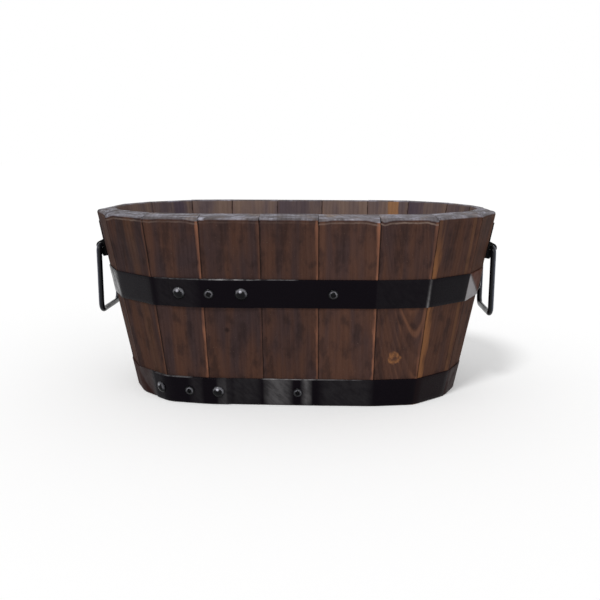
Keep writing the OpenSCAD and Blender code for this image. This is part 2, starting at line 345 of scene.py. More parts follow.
@dataclass(frozen=True)
class TubPlan:
    """The stave ring's plan and lean, from which every piece takes its place.

    A quarter of the ring is given, from the middle of a long side to the middle of an end, and is
    mirrored twice.
    """

    height: float = 202 * MM
    lean: float = math.radians(10.7)
    stave_t: float = 18 * MM
    rim_round: float = 3 * MM
    rim_ease: float = 1.5 * MM
    rim_widths: tuple[float, ...] = (57 * MM, 59.5 * MM, 57.7 * MM, 66.2 * MM, 54.6 * MM, 61 * MM)
    facings: tuple[float, ...] = (0, 0.8, 9.2, 41.6, 65.1, 90)
    base_z: float = 16 * MM
    base_t: float = 12 * MM
    groove_d: float = 6 * MM
    seat_clear: float = 0.1 * MM
    staves: int = 20
    left_end: int = 15
    right_end: int = 5

    def quarter(self, k: int) -> int:
        """Gives the place of stave k in its quarter of the ring."""
        half = self.staves // 2
        return min(k % half, half - k % half)

    def facing(self, k: int) -> float:
        """Gives the direction that stave k faces.

        Args:
            k: The stave's number.

        Returns:
            The direction in radians from -Y, anticlockwise.
        """
        turn = self.facings[self.quarter(k)]
        side = min(max(k % self.staves - 1, 0) // (self.staves // 4), 3)
        return math.radians((turn, 180 - turn, 180 + turn, 360 - turn)[side])

    def outward(self, k: int) -> Vector:
        """Gives the level direction out of stave k."""
        return Vector((math.sin(self.facing(k)), -math.cos(self.facing(k)), 0))

    def along(self, k: int) -> Vector:
        """Gives the level direction along stave k, towards the next stave."""
        return Vector((math.cos(self.facing(k)), math.sin(self.facing(k)), 0))

    def width(self, k: int) -> float:
        """Gives the width of stave k at the rim."""
        return self.rim_widths[self.quarter(k)]

    @cached_property
    def rim_seams(self) -> list[Vector]:
        """The seams at the outer edge of the rim.

        Returns:
            Their places in plan. Seam k is where stave k starts.
        """
        half_depth = self.rim_widths[5] / 2 + sum(
            self.rim_widths[q] * math.sin(math.radians(self.facings[q])) for q in range(1, 5))
        seams = [Vector((-self.rim_widths[0] / 2, -half_depth, 0))]
        for k in range(self.staves - 1):
            seams.append(seams[-1] + self.width(k) * self.along(k))
        return seams

    @cached_property
    def edge_z(self) -> float:
        """Height of the sharp outer edge of the rim, before it is rounded."""
        return (self.height - self.stave_t * math.sin(self.lean)
                + self.rim_ease * (math.sin(self.lean) + math.cos(self.lean) - 1))

    @cached_property
    def wall_plan_t(self) -> float:
        """Thickness of the wall on the level."""
        return self.stave_t / math.cos(self.lean)

    def inset(self, z: float) -> float:
        """Gives how far the wall has moved in from the rim at a height."""
        return (self.edge_z - z) * math.tan(self.lean)

    def seam_at(self, k: int, inwards: float) -> Vector:
        """Gives seam k, in plan, at a distance in from the rim's outer edge."""
        before, after = self.outward(k - 1), self.outward(k)
        return self.rim_seams[k % self.staves] - inwards * (before + after) / (1 + before @ after)

    def wall_point(self, k: int, u: float, z: float) -> Vector:
        """Gives a point of a stave's outer face.

        Args:
            k: The stave's number.
            u: Distance along it, from its middle.
            z: Height.

        Returns:
            The point.
        """
        middle = (self.rim_seams[k % self.staves] + self.rim_seams[(k + 1) % self.staves]) / 2
        point = middle + u * self.along(k) - self.inset(z) * self.outward(k)
        return Vector((point.x, point.y, z))

    def on_wall(self, k: int, u: float, z: float) -> Matrix:
        """Gives the frame of a wall: X along the stave, Z up its slope and -Y out of the wall."""
        return (Matrix.Translation(self.wall_point(k, u, z))
                @ Matrix.Rotation(self.facing(k), 4, "Z") @ Matrix.Rotation(self.lean, 4, "X"))

    def seam_normal(self, k: int) -> Vector:
        """Gives the level normal of an upright joint.

        Args:
            k: The seam's number.

        Returns:
            The normal, towards stave k.
        """
        across = (self.outward(k - 1) + self.outward(k)).normalized()
        normal = Vector((-across.y, across.x, 0))
        return normal if normal @ self.along(k) > 0 else -normal


@dataclass(frozen=True)
class Value:
    """A number, place or colour inside a shader, which takes plain arithmetic."""

    net: "Wiring"
    socket: Socket

    def __add__(self, other: Number) -> "Value":
        """Adds another value."""
        return self.net.math("ADD", self, other)

    def __sub__(self, other: Number) -> "Value":
        """Takes another value away."""
        return self.net.math("SUBTRACT", self, other)

    def __rsub__(self, other: float) -> "Value":
        """Takes this value away from a number."""
        return self.net.math("SUBTRACT", other, self)

    def __mul__(self, other: Number) -> "Value":
        """Multiplies by another value."""
        return self.net.math("MULTIPLY", self, other)

    def __truediv__(self, other: Number) -> "Value":
        """Divides by another value."""
        return self.net.math("DIVIDE", self, other)

    def __abs__(self) -> "Value":
        """Drops the sign."""
        return self.net.math("ABSOLUTE", self)

    def span(self, low: Number, high: Number, to_low: float = 0.0, to_high: float = 1.0) -> "Value":
        """Eases the value from one span to another.

        Args:
            low: Where the span starts.
            high: Where the span ends.
            to_low: The result at its start and below.
            to_high: The result at its end and above.

        Returns:
            The eased value.
        """
        node = self.net.node("MapRange", interpolation_type="SMOOTHSTEP")
        return self.net.fed(node, (self, low, high, to_low, to_high))

    def drawn_out(self, share: float) -> "Value":
        """Scales a place's third part, so that a texture runs long that way."""
        return self.net.fed(self.net.node("VectorMath", operation="MULTIPLY"),
                               (self, (1.0, 1.0, share)))


@dataclass
class Wiring:
    """Adds nodes to the tree of a material or a node group and wires them."""

    tree: Tree
    count: int = 0

    def node(self, kind: str, **settings: object) -> bpy.types.Node:
        """Adds a node.

        Args:
            kind: The node's type, without ShaderNode.
            **settings: The node's own settings.

        Returns:
            The node.
        """
        node = self.tree.nodes.new(kind if kind.startswith("Node") else "ShaderNode" + kind)
        node.location = (180 * (self.count % 12), -220 * (self.count // 12))
        self.count += 1
        for key, value in settings.items():
            setattr(node, key, value)
        return node

    def put(self, socket: Socket, value: object) -> None:
        """Links a value into a socket, or sets a plain one on it.

        Args:
            socket: The socket that takes it.
            value: A value of the shader, a socket, or a plain number, place or colour.
        """
        value = value.socket if isinstance(value, Value) else value
        if isinstance(value, Socket):
            self.tree.links.new(value, socket)
        else:
            socket.default_value = value

    def fed(self, node: bpy.types.Node, values: tuple[object, ...], result: int = 0) -> Value:
        """Feeds a node's first sockets.

        Args:
            node: The node.
            values: What its sockets take, in their order.
            result: Which of its outputs is wanted.

        Returns:
            The node's result.
        """
        for socket, value in zip(node.inputs, values):
            self.put(socket, value)
        return Value(self, node.outputs[result])

    def math(self, operation: str, *values: Number, clamp: bool = False) -> Value:
        """Adds a Math node.

        Args:
            operation: What it does.
            *values: What it takes.
            clamp: Whether its result stays between 0 and 1.

        Returns:
            Its result.
        """
        return self.fed(self.node("Math", operation=operation, use_clamp=clamp), values)

    def length(self, x: Value, y: Value) -> Value:
        """Gives how far a step aside and a step up lead."""
        return self.math("SQRT", x * x + y * y)

    def split(self, vector: Value) -> tuple[Value, Value, Value]:
        """Gives a vector's three parts.

        Args:
            vector: The vector.

        Returns:
            Its parts.
        """
        node = self.node("SeparateXYZ")
        self.put(node.inputs[0], vector)
        return tuple(Value(self, part) for part in node.outputs)

    def merge(self, x: Number, y: Number, z: Number) -> Value:
        """Makes a vector of three parts."""
        return self.fed(self.node("CombineXYZ"), (x, y, z))

    def noise(self, place: Value, scale: Number, detail: float = 2, roughness: float = 0.5,
              distortion: float = 0) -> Value:
        """Adds a Noise texture.

        Args:
            place: Where it is read.
            scale: How fine it is.
            detail: How many finer layers it has.
            roughness: How strong they are.
            distortion: How far it is twisted.

        Returns:
            Its value.
        """
        node = self.node("TexNoise")
        for key, value in (("Vector", place), ("Scale", scale), ("Detail", detail),
                           ("Roughness", roughness), ("Distortion", distortion)):
            self.put(node.inputs[key], value)
        return Value(self, node.outputs[0])

    def mix(self, factor: Number, low: object, high: object, blend: str = "MIX") -> Value:
        """Mixes two colours.

        Args:
            factor: The share of the second colour.
            low: The first colour.
            high: The second colour.
            blend: How the second one is laid on the first.

        Returns:
            The mixed colour.
        """
        node = self.node("Mix", data_type="RGBA", blend_type=blend)
        for number, value in ((0, factor), (6, low), (7, high)):
            self.put(node.inputs[number], value)
        return Value(self, node.outputs[2])

    def attribute(self, name: str) -> Value:
        """Reads a vector that the mesh carries."""
        node = self.node("Attribute", attribute_type="GEOMETRY", attribute_name=name)
        return Value(self, node.outputs["Vector"])

    def place(self) -> Value:
        """Reads the place of a point in the frame."""
        return Value(self, self.node("TexCoord").outputs["Object"])

    def bump(self, height: Value, distance: float, strength: float = 0.6) -> Value:
        """Turns heights into a normal.

        Args:
            height: The height, from 0 to 1.
            distance: How high 1 is.
            strength: How much of it shows.

        Returns:
            The normal.
        """
        node = self.node("Bump")
        for key, value in (("Height", height), ("Distance", distance), ("Strength", strength)):
            self.put(node.inputs[key], value)
        return Value(self, node.outputs[0])

    def group(self, tree: Tree, **values: object) -> dict[str, Value]:
        """Places a node group.

        Args:
            tree: The group's tree.
            **values: Its inputs, with _ for each space in their names.

        Returns:
            Its outputs by name.
        """
        node = self.node("Group", node_tree=tree)
        for key, value in values.items():
            self.put(node.inputs[key.replace("_", " ")], value)
        return {out.name: Value(self, out) for out in node.outputs}


class Effects:
    """The shader groups that several finishes share, each built once."""

    @staticmethod
    def _start(name: str, takes: dict[str, str]) -> tuple[Wiring, dict[str, Value]]:
        """Starts a group.

        Args:
            name: The group's name.
            takes: Its inputs, as name to socket kind.

        Returns:
            Its wiring and its inputs by name.
        """
        tree = bpy.data.node_groups.new(name, "ShaderNodeTree")
        for key, kind in takes.items():
            tree.interface.new_socket(key, in_out="INPUT", socket_type="NodeSocket" + kind)
        net = Wiring(tree)
        entry = net.node("NodeGroupInput")
        return net, {out.name: Value(net, out) for out in entry.outputs if out.name}

    @staticmethod
    def _end(net: Wiring, gives: dict[str, Value]) -> Tree:
        """Gives a group its float outputs.

        Args:
            net: The group's wiring.
            gives: Its results by name.

        Returns:
            The group's tree.
        """
        for key in gives:
            net.tree.interface.new_socket(key, in_out="OUTPUT", socket_type="NodeSocketFloat")
        leave = net.node("NodeGroupOutput")
        for key, value in gives.items():
            net.put(leave.inputs[key], value)
        return net.tree

    @cached_property
    def grain(self) -> Tree:
        """Growth rings round a tilted pith, fine fibre and slow blotches in a board.

        Returns:
            The group's tree.
        """
        net, given = self._start("board_grain", {
            "Board": "Vector", "Pith": "Vector", "Seed": "Float", "Ring Pitch": "Float",
            "Wobble": "Float"})
        u, v, w = net.split(given["Board"])
        pith_u, pith_v, tilt = net.split(given["Pith"])
        place = net.merge(u + given["Seed"] * 0.731, v, w)
        sway = (net.noise(place.drawn_out(0.22), 34, 3) - 0.5) * given["Wobble"]
        away = net.length(u - pith_u - w * tilt, v - pith_v + w * abs(tilt))
        turns = (away + sway) / given["Ring Pitch"]
        year = net.math("FRACT", turns)
        slow = net.noise(place.drawn_out(0.3), 42, 3, 0.55, 0.4)
        return self._end(net, {
            "Turns": turns,
            "Rings": net.math("SUBTRACT", year.span(0.35, 0.86), year.span(0.93, 1.0),
                                 clamp=True),
            "Early": year.span(0.0, 0.1) * year.span(0.24, 0.46, 1.0, 0.0),
            "Fibre": net.noise(place.drawn_out(0.035), 520, 4, 0.62).span(0.28, 0.74),
            "Pores": net.noise(place.drawn_out(0.09), 1500).span(0.56, 0.72),
            "Blotch": slow.span(0.3, 0.7),
            "Zone": net.noise(place.drawn_out(0.14), 58, 2, 0.45, 0.3).span(0.36, 0.64),
            "Specks": net.noise(place, 640, 1, 0.4).span(0.68, 0.8)})

    @cached_property
    def worn_edge(self) -> Tree:
        """A ragged band along an edge, from the distance to it.

        Returns:
            The group's tree.
        """
        net, given = self._start("worn_edge", {
            "Distance": "Float", "Reach": "Float", "Board": "Vector", "Run": "Float"})
        u, v, w = net.split(given["Board"])
        rag = net.noise(net.merge(u, v, w * given["Run"]), 210, 3, 0.6)
        reach = given["Reach"] * rag.span(0.25, 0.75, 0.45, 1.5)
        return self._end(net, {"Band": given["Distance"].span(reach * 0.35, reach, 1.0, 0.0)})

    @cached_property
    def enamel(self) -> Tree:
        """The unevenness of brushed-on enamel over rolled steel: swells, brush marks and dust.

        Returns:
            The group's tree.
        """
        net, given = self._start("enamel_skin", {"Place": "Vector", "Swell Scale": "Float"})
        place = given["Place"]
        swell = net.noise(place, given["Swell Scale"], 2, 0.45)
        patch = net.noise(place, 70, 4, 0.6)
        specks = net.noise(place, 900, 3, 0.7)
        return self._end(net, {
            "Height": swell * 0.8 + net.noise(place, 620) * 0.06,
            "Sheen": patch.span(0.35, 0.68),
            "Dust": specks.span(0.6, 0.78) * patch.span(0.45, 0.75)})


@dataclass(frozen=True)
class Finish:
    """A finish: one material with a Principled shader at its end."""

    effects: Effects
    name: str

    def _principled(self, **constants: float) -> tuple[Wiring, bpy.types.Material]:
        """Starts the material.

        Args:
            **constants: Plain values of the shader, with _ for each space in their names.

        Returns:
            The wiring and the material.
        """
        material = bpy.data.materials.new(self.name)
        material.use_nodes = True
        material.node_tree.nodes.clear()
        net = Wiring(material.node_tree)
        shader = net.node("BsdfPrincipled", name="surface")
        net.put(net.node("OutputMaterial").inputs["Surface"], shader.outputs[0])
        for key, value in constants.items():
            shader.inputs[key.replace("_", " ")].default_value = value
        return net, material

    @staticmethod
    def _surface(net: Wiring, colour: Value, roughness: Value, normal: Value) -> None:
        """Gives the shader what differs from place to place.

        Args:
            net: The material's wiring.
            colour: The colour.
            roughness: The roughness.
            normal: The normal.
        """
        shader = net.tree.nodes["surface"]
        for key, value in (("Base Color", colour), ("Roughness", roughness), ("Normal", normal)):
            net.put(shader.inputs[key], value)

    @staticmethod
    def _darkened(net: Wiring, colour: Value, amount: Number, tint: int) -> Value:
        """Darkens a colour towards a warm grey.

        Args:
            net: The material's wiring.
            colour: The colour so far.
            amount: How far, from 0 to 1.
            tint: The grey's red, of which green and blue have a little less.

        Returns:
            The darkened colour.
        """
        return net.mix(amount, colour, stain(tint, int(0.94 * tint), int(0.93 * tint)), "MULTIPLY")


@dataclass(frozen=True)
class StainedWood(Finish):
    """Dark stain on dry softwood in brown and grey-violet zones, worn edges, painted seam shade and
    rim highlights.
    """

    name: str = "stained_wood"
    deep: Colour = stain(46, 35, 34)
    brown: Colour = stain(81, 56, 46)
    violet: Colour = stain(59, 47, 48)
    early: Colour = stain(120, 82, 62)
    wear_and_gleam: Colour = stain(145, 97, 74)
    sapwood: Colour = stain(130, 88, 58)
    # Painted shade in the seams
    joint: Colour = stain(30, 21, 18)
    dust: Colour = stain(116, 98, 88)
    rim_grey: Colour = stain(92, 87, 89)
    # The rim's light streak and white glint colours are painted highlights
    rim_highlight: Colour = stain(138, 135, 143)
    rim_tan: Colour = stain(120, 104, 92)
    rim_glint: Colour = stain(180, 180, 194)
    crest: Colour = stain(128, 110, 100)
    inner_tan: Colour = stain(122, 102, 92)
    inner_mauve: Colour = stain(92, 80, 84)
    resin: Colour = stain(160, 114, 72)
    shade: Colour = stain(72, 64, 82)
    knot: Colour = stain(34, 26, 26)
    arm_ring: float = 6.05
    rub_w: float = 3.1 * MM
    seam_shade_w: float = 1.7 * MM
    relief: float = 0.2 * MM

    @cached_property
    def material(self) -> bpy.types.Material:
        """The finish as a material.

        Returns:
            The material.
        """
        net, material = self._principled(Specular_IOR_Level=0.05)
        board = net.attribute("board")
        looks = net.split(net.attribute("looks"))
        figure = net.split(net.attribute("figure"))
        grain = net.group(self.effects.grain, Board=board, Pith=net.attribute("pith"),
                             Seed=looks[2], Ring_Pitch=figure[2],
                             Wobble=figure[1].span(0.0, 0.3, 11 * MM, 3 * MM))
        wood = self._faces(net, board, looks, figure, grain)
        wood = self._marks(net, board, wood)
        wood = self._edges(net, board, wood)
        wood, rim = self._rim(net, board, looks, wood, grain)
        wood = net.mix(1.0, wood, net.merge(looks[0], looks[0], looks[0]), "MULTIPLY")
        relief = grain["Fibre"] * -0.5 - grain["Pores"] * 0.5 + grain["Rings"] * 0.35
        self._surface(net, wood, grain["Fibre"].span(0.0, 1.0, 0.76, 0.95) - rim * 0.25,
                      net.bump(relief, self.relief))
        return material

    def _faces(self, net: Wiring, board: Value, looks: tuple[Value, ...],
               figure: tuple[Value, ...], grain: dict[str, Value]) -> Value:
        """Colours the outer and the inner faces.

        Args:
            net: The material's wiring.
            board: Place in the stave.
            looks: The stave's tone, warmth and seed.
            figure: How strong its dark and its light rings are, and their pitch.
            grain: The grain's masks.

        Returns:
            The wood's colour before wear.
        """
        u, v, w = net.split(board)
        heat = grain["Zone"] * 0.62 + looks[1] + grain["Blotch"] * 0.38 - w * 0.9
        heat = heat.span(-0.1, 1.1)
        outer = net.mix(heat, self.violet, self.brown)
        cloud = net.noise(board.drawn_out(0.6), 66, 3, 0.6)
        outer = net.mix(cloud.span(0.46, 0.68, 0.0, 0.6), outer, self.deep)
        inner = net.mix(heat, self.inner_mauve, self.inner_tan)
        wood = net.mix(v.span(16.5 * MM, 17.6 * MM), outer, inner)

        # A broad streak that took more stain, or less
        streak_u, streak_half, streak = net.split(net.attribute("streak"))
        ragged = net.noise(board.drawn_out(0.15), 130)
        edge = streak_half * ragged.span(0.3, 0.7, 0.7, 1.25)
        inside = abs(u - streak_u).span(edge * 0.72, edge, 1.0, 0.0)
        inside = inside * v.span(2 * MM, 17 * MM, 0.4, 1.0)
        pale = inside * net.math("MAXIMUM", streak, 0.0)
        dim = inside * net.math("MAXIMUM", streak * -1.0, 0.0)
        wood = net.mix(pale, wood, self.resin)
        wood = net.mix(dim, wood, self.shade)

        # Light and dark rings, fibre, pores and dust
        arm = abs(grain["Turns"] - self.arm_ring).span(0.06, 0.26, 1.0, 0.0) * 0.95
        early = grain["Early"] * grain["Blotch"].span(0.2, 0.8, 0.1, 0.5)
        early = net.math("MAXIMUM", arm, early) * figure[1]
        early = early * w.span(-100 * MM, -60 * MM, 1.0, 0.15) * u.span(-12 * MM, 0.0, 0.1, 1.0)
        wood = net.mix(early, wood, self.early)
        for mask, amount, tint in (("Rings", figure[0], 149), ("Fibre", 0.2, 172),
                                   ("Pores", 0.22, 149)):
            wood = self._darkened(net, wood, grain[mask] * amount, tint)
        return net.mix(grain["Specks"] * 0.3, wood, self.dust)

    def _marks(self, net: Wiring, board: Value, wood: Value) -> Value:
        """Adds the one worn mark or knot that a stave may have.

        Args:
            net: The material's wiring.
            board: Place in the stave.
            wood: The colour so far.

        Returns:
            The colour with the mark.
        """
        at_u, at_w, size = net.split(net.attribute("mark"))
        u, v, w = net.split(board)
        radius = abs(size)
        is_knot = net.math("LESS_THAN", size, 0.0)
        torn = (net.noise(board, 125, 2, 0.5) - 0.5) * radius * (1.5 - is_knot * 0.5)
        away = net.length(u - at_u, w - at_w) + torn
        inner = radius * (0.66 - is_knot * 0.44)
        spot = away.span(inner, radius, 1.0, 0.0) * v.span(2 * MM, 4 * MM, 1.0, 0.0)
        flakes = net.noise(board, 300, 2, 0.5).span(0.4, 0.58, 0.45, 1.0)
        scuff_and_gleam = spot * (1.0 - is_knot) * away.span(0.0, inner, 0.2, 1.0) * flakes
        wood = net.mix(scuff_and_gleam, wood, self.sapwood)
        return net.mix(spot * is_knot * 0.75, wood, self.knot)

    def _edges(self, net: Wiring, board: Value, wood: Value) -> Value:
        """Rubs one upright edge to the raw wood and paints shade in the seam along the other.

        Args:
            net: The material's wiring.
            board: Place in the stave.
            wood: The colour so far.

        Returns:
            The colour with its edges.
        """
        left, right, sap_w = net.split(net.attribute("arris"))
        rub_and_gleam, sap, _ = net.split(net.attribute("wear"))
        u, v, w = net.split(board)
        along = net.noise(net.merge(u * 0.2, v * 0.2, w), 28, 2, 0.6)
        outside = v.span(12 * MM, 17.5 * MM, 1.0, 0.2)
        for distance, reach, run, amount, colour in (
                (left, sap_w, 0.1, sap * w.span(-55 * MM, -15 * MM, 1.0, 0.3), self.sapwood),
                (right, self.rub_w, 0.15, rub_and_gleam * along.span(0.3, 0.66, 0.3, 1.0) * outside,
                 self.wear_and_gleam),
                # Painted shade along the seam at the left edge
                (left, self.seam_shade_w, 0.3, 0.85, self.joint)):
            band = net.group(self.effects.worn_edge, Distance=distance, Reach=reach,
                                Board=board, Run=run)["Band"]
            wood = net.mix(band * amount, wood, colour)
        return wood

    def _rim(self, net: Wiring, board: Value, looks: tuple[Value, ...], wood: Value,
             grain: dict[str, Value]) -> tuple[Value, Value]:
        """Greys the rim, paints highlight streaks and glints on it, and lightens the corner below
        it.

        Args:
            net: The material's wiring.
            board: Place in the stave.
            looks: The stave's tone, warmth and seed.
            wood: The colour so far.
            grain: The grain's masks.

        Returns:
            The colour with its rim, and the rim's mask.
        """
        crest = net.split(net.attribute("wear"))[2]
        u, v, w = net.split(board)
        left, right, _ = net.split(net.attribute("arris"))
        shift = looks[2] * 0.37
        some = net.noise(net.merge(u * 0.6 + shift, 0.7, 0.0), 60).span(0.4, 0.58)
        corner = net.math("MINIMUM", left, right).span(0.0, 16 * MM, 3.4 * MM, 0.0)
        corner = corner * some * crest.span(0.0, 0.8, 0.2, 1.0)
        drop = corner * v.span(3 * MM, 12 * MM, -1.0, 0.0) - w
        # The rim's grey is its end grain's own; its light streaks and white glints are painted
        # highlights
        highlight_streaks = net.noise(net.merge(u * 0.15 + shift, v - w, 0.0), 240, 3, 0.55)
        patch = net.noise(net.merge(u + shift, v, 0.0), 44, 3, 0.6)
        glints = net.noise(net.merge(u * 0.17 + shift, v - w, 0.0), 330, 4, 0.65)
        glints = glints.span(0.5, 0.66) * patch.span(0.35, 0.6, 0.9, 0.1)
        grey = net.mix(highlight_streaks.span(0.4, 0.68), self.rim_grey, self.rim_highlight)
        grey = net.mix(patch.span(0.5, 0.72, 0.0, 0.75), grey, self.rim_tan)
        grey = net.mix(glints, grey, self.rim_glint)
        grey = self._darkened(net, grey, grain["Rings"] * 0.22, 149)
        rim = drop.span(1.2 * MM, 2.6 * MM, 1.0, 0.0)
        wood = net.mix(rim, wood, grey)
        chip = net.noise(net.merge(u + shift, 0.0, 0.0), 90, 3, 0.6)
        broken = net.noise(net.merge(u + shift, 0.3, 0.0), 60, 3, 0.6)
        line = abs(drop - chip.span(0.3, 0.7, 4.1 * MM, 4.8 * MM))
        line = line.span(0.2 * MM, 1.3 * MM, 1.0, 0.0)
        line = line * crest * broken.span(0.34, 0.6, 0.25, 1.0)
        line = line * v.span(2 * MM, 3.5 * MM, 1.0, 0.0)
        return net.mix(line, wood, self.crest), rim


@dataclass(frozen=True)
class PlainBoard(Finish):
    """Thinly stained base boards and dowels."""

    name: str = "base_wood"
    pale: Colour = stain(128, 98, 74)
    deep: Colour = stain(92, 68, 54)
    ring_pitch: float = 5.2 * MM
    wobble: float = 14 * MM
    relief: float = 0.2 * MM

    @cached_property
    def material(self) -> bpy.types.Material:
        """The finish as a material.

        Returns:
            The material.
        """
        net, material = self._principled(Specular_IOR_Level=0.25)
        board = net.attribute("board")
        tone, warmth, seed = net.split(net.attribute("looks"))
        grain = net.group(self.effects.grain, Board=board, Pith=net.attribute("pith"),
                             Seed=seed, Ring_Pitch=self.ring_pitch, Wobble=self.wobble)
        heat = (grain["Blotch"] + warmth).span(0.1, 0.95)
        wood = net.mix(heat, self.deep, self.pale)
        wood = self._darkened(net, wood, grain["Rings"] * 0.5, 149)
        wood = self._darkened(net, wood, grain["Fibre"] * 0.3, 177)
        wood = net.mix(1.0, wood, net.merge(tone, tone, tone), "MULTIPLY")
        relief = grain["Fibre"] * -0.5 + grain["Rings"] * 0.6
        self._surface(net, wood, grain["Fibre"].span(0.0, 1.0, 0.6, 0.82),
                      net.bump(relief, self.relief))
        return material


@dataclass(frozen=True)
class BlackSteel(Finish):
    """Black enamel over steel, from semi-gloss straps to glossy rivets."""

    name: str = "black_steel"
    colour: Colour = stain(9, 5, 11)
    dust: Colour = stain(58, 54, 52)
    # Painted grey reflection, painted highlight, and painted brown reflections of the wood
    painted_sheen: Colour = stain(96, 94, 95)
    painted_highlight: Colour = stain(150, 148, 150)
    painted_brown_reflection: Colour = stain(46, 25, 21)
    russet: Colour = stain(92, 60, 50)
    gloss: tuple[float, float] = (0.2, 0.36)
    swell_scale: float = 24
    swell: float = 0.5 * MM
    specular: float = 0.045

    @cached_property
    def material(self) -> bpy.types.Material:
        """The finish as a material.

        Returns:
            The material.
        """
        net, material = self._principled(Specular_IOR_Level=self.specular)
        place = net.place()
        skin = net.group(self.effects.enamel, Place=place, Swell_Scale=self.swell_scale)
        colour = net.mix(skin["Dust"] * 0.4, self.colour, self.dust)
        colour, dull = self._wear(net, place, colour)
        self._surface(net, colour, skin["Sheen"].span(0.0, 1.0, *self.gloss) + dull,
                      net.bump(skin["Height"], self.swell))
        return material

    def _wear(self, net: Wiring, place: Value, colour: Value) -> tuple[Value, Number]:
        """Paints reflections and highlights on the enamel where the mesh says, and brown
        reflections of the wood.

        Args:
            net: The material's wiring.
            place: Place in the frame.
            colour: The colour so far.

        Returns:
            The colour with its painted light, and how much rougher it is.
        """
        # The mesh's painted light: reflections on the face, a highlight on the upper edge, a brown
        # reflection
        scuff_and_gleam, edge, brown = net.split(net.attribute("scuff_and_gleam"))
        x, y, z = net.split(place)
        brushed = net.noise(net.merge(x + z, y, (z - x) * 0.35), 190, 4, 0.6)
        broken = net.noise(place, 120, 3, 0.6).span(0.36, 0.6, 0.2, 1.0)
        sharp = net.split(net.attribute("upper_edge"))[0].span(0.82, 0.97)
        # Painted brown reflection of the wood, russet where it is strongest
        colour = net.mix(brown, colour, self.painted_brown_reflection)
        colour = net.mix(brown.span(1.0, 2.0), colour, self.russet)
        # Painted light on the face: streaked grey, and a bright highlight where the value passes 1
        colour = net.mix(scuff_and_gleam * brushed.span(0.3, 0.68, 0.5, 1.0), colour, self.painted_sheen)
        colour = net.mix(scuff_and_gleam.span(1.0, 2.0), colour, self.painted_highlight)
        # Painted highlight along the strap's upper edge
        colour = net.mix(sharp * broken * edge, colour, self.painted_highlight)
        return colour, brown.span(0.0, 1.0, 0.0, 0.4)


@dataclass(frozen=True)
class FastenerSteel(BlackSteel):
    """Glossy black rivets and screws, with a highlight painted on the upper side of each head."""

    name: str = "fastener_steel"
    # The colour of the highlights painted on the heads
    painted_highlight: Colour = stain(206, 205, 214)

    def _wear(self, net: Wiring, place: Value, colour: Value) -> tuple[Value, Number]:
        """Paints a highlight glint and bow on the upper side of a rivet, and a highlight ring on a
        screw.

        Args:
            net: The material's wiring.
            place: Place in the frame.
            colour: The colour so far.

        Returns:
            The colour with its painted highlights, and how much rougher it is.
        """
        # The head's place, and how bright its painted highlight is, over 1 on a screw
        across, up, wear_and_gleam = net.split(net.attribute("head"))
        is_screw = net.math("GREATER_THAN", wear_and_gleam, 1.0)
        ragged = net.noise(place, 620, 3, 0.6)
        torn = net.length(across, up) + (ragged - 0.5) * 0.5
        glint = net.length(across * 0.8 + 0.07, up - 0.55) + (ragged - 0.5) * 0.3
        bow = torn.span(0.62, 0.74) * torn.span(0.84, 1.0, 1.0, 0.0)
        bow = bow * (up + across * 0.3).span(-0.25, 0.35, 0.0, 0.3)
        bow = net.math("MAXIMUM", bow, glint.span(0.1, 0.28, 1.0, 0.0)) * (1.0 - is_screw)
        ring = torn.span(0.48, 0.6) * torn.span(0.7, 0.86, 1.0, 0.0)
        ring = ring * (up + across * 0.35).span(-0.7, 0.6, 0.06, 0.34) * is_screw
        # The painted highlight, broken up by noise and scaled by the head's own share
        bright = (bow + ring) * ragged.span(0.32, 0.58, 0.4, 1.0)
        bright = bright * net.math("FRACT", wear_and_gleam)
        return net.mix(bright, colour, self.painted_highlight), 0.0


class Marks:
    """Writes on a mesh what its finish reads."""

    @staticmethod
    def vectors(piece: Piece, name: str, rows: np.ndarray | tuple[float, ...]) -> None:
        """Stores one vector for each vertex.

        Args:
            piece: The piece.
            name: The attribute's name.
            rows: Three numbers, or one, for each vertex, or one row for all.
        """
        count = len(piece.data.vertices)
        full = np.broadcast_to(np.asarray(rows, np.float32), (count, 3))
        attribute = piece.data.attributes.new(name, "FLOAT_VECTOR", "POINT")
        attribute.data.foreach_set("vector", np.ascontiguousarray(full).ravel())

    @staticmethod
    def places(piece: Piece) -> np.ndarray:
        """Gives the places of a mesh's vertices.

        Args:
            piece: The piece.

        Returns:
            One row for each vertex.
        """
        places = np.zeros(len(piece.data.vertices) * 3, np.float32)
        piece.data.vertices.foreach_get("co", places)
        return places.reshape(-1, 3).astype(float)

    @staticmethod
    def inside(piece: Piece, frame: Matrix) -> np.ndarray:
        """Gives the places of a mesh's vertices in a frame that is given in the tub's."""
        inverse = np.array(frame.inverted())
        return Marks.places(piece) @ inverse[:3, :3].T + inverse[:3, 3]

    @staticmethod
    def past(places: np.ndarray, point: Vector, normal: Vector) -> np.ndarray:
        """Gives how far places lie past a plane, on the side that its normal points at."""
        return (places - np.array(point)) @ np.array(normal)

    @staticmethod
    def board(piece: Piece, frame: Matrix) -> None:
        """Stores places in a board's own frame: across, through and along the grain."""
        Marks.vectors(piece, "board", Marks.inside(piece, frame))


class Sawing(Enum):
    """How a board was sawn: how far its pith lies from its middle and its face, and the tilt."""

    CATHEDRAL = (-4.5 * MM, 3.2 * MM, -0.15)
    FLAT = (6 * MM, 34 * MM, 0.1)
    RIFT = (34 * MM, 30 * MM, 0.03)
    QUARTER = (70 * MM, 8 * MM, 0.015)


@dataclass(frozen=True)
class StaveLook:
    """What makes one stave look unlike the next."""

    sawing: Sawing = Sawing.RIFT
    tone: float = 1.0
    warmth: float = 0.0
    figure: Triple = (0.12, 0.0, 4.6 * MM)
    rub_and_gleam: float = 0.5
    sapwood: tuple[float, float] = (0.0, 7.2 * MM)
    crest: float = 0.12
    streak: Triple = (0.0, 1 * MM, 0.0)
    mark: Triple = (0.0, 0.0, 0.1 * MM)
    mirrored: bool = False


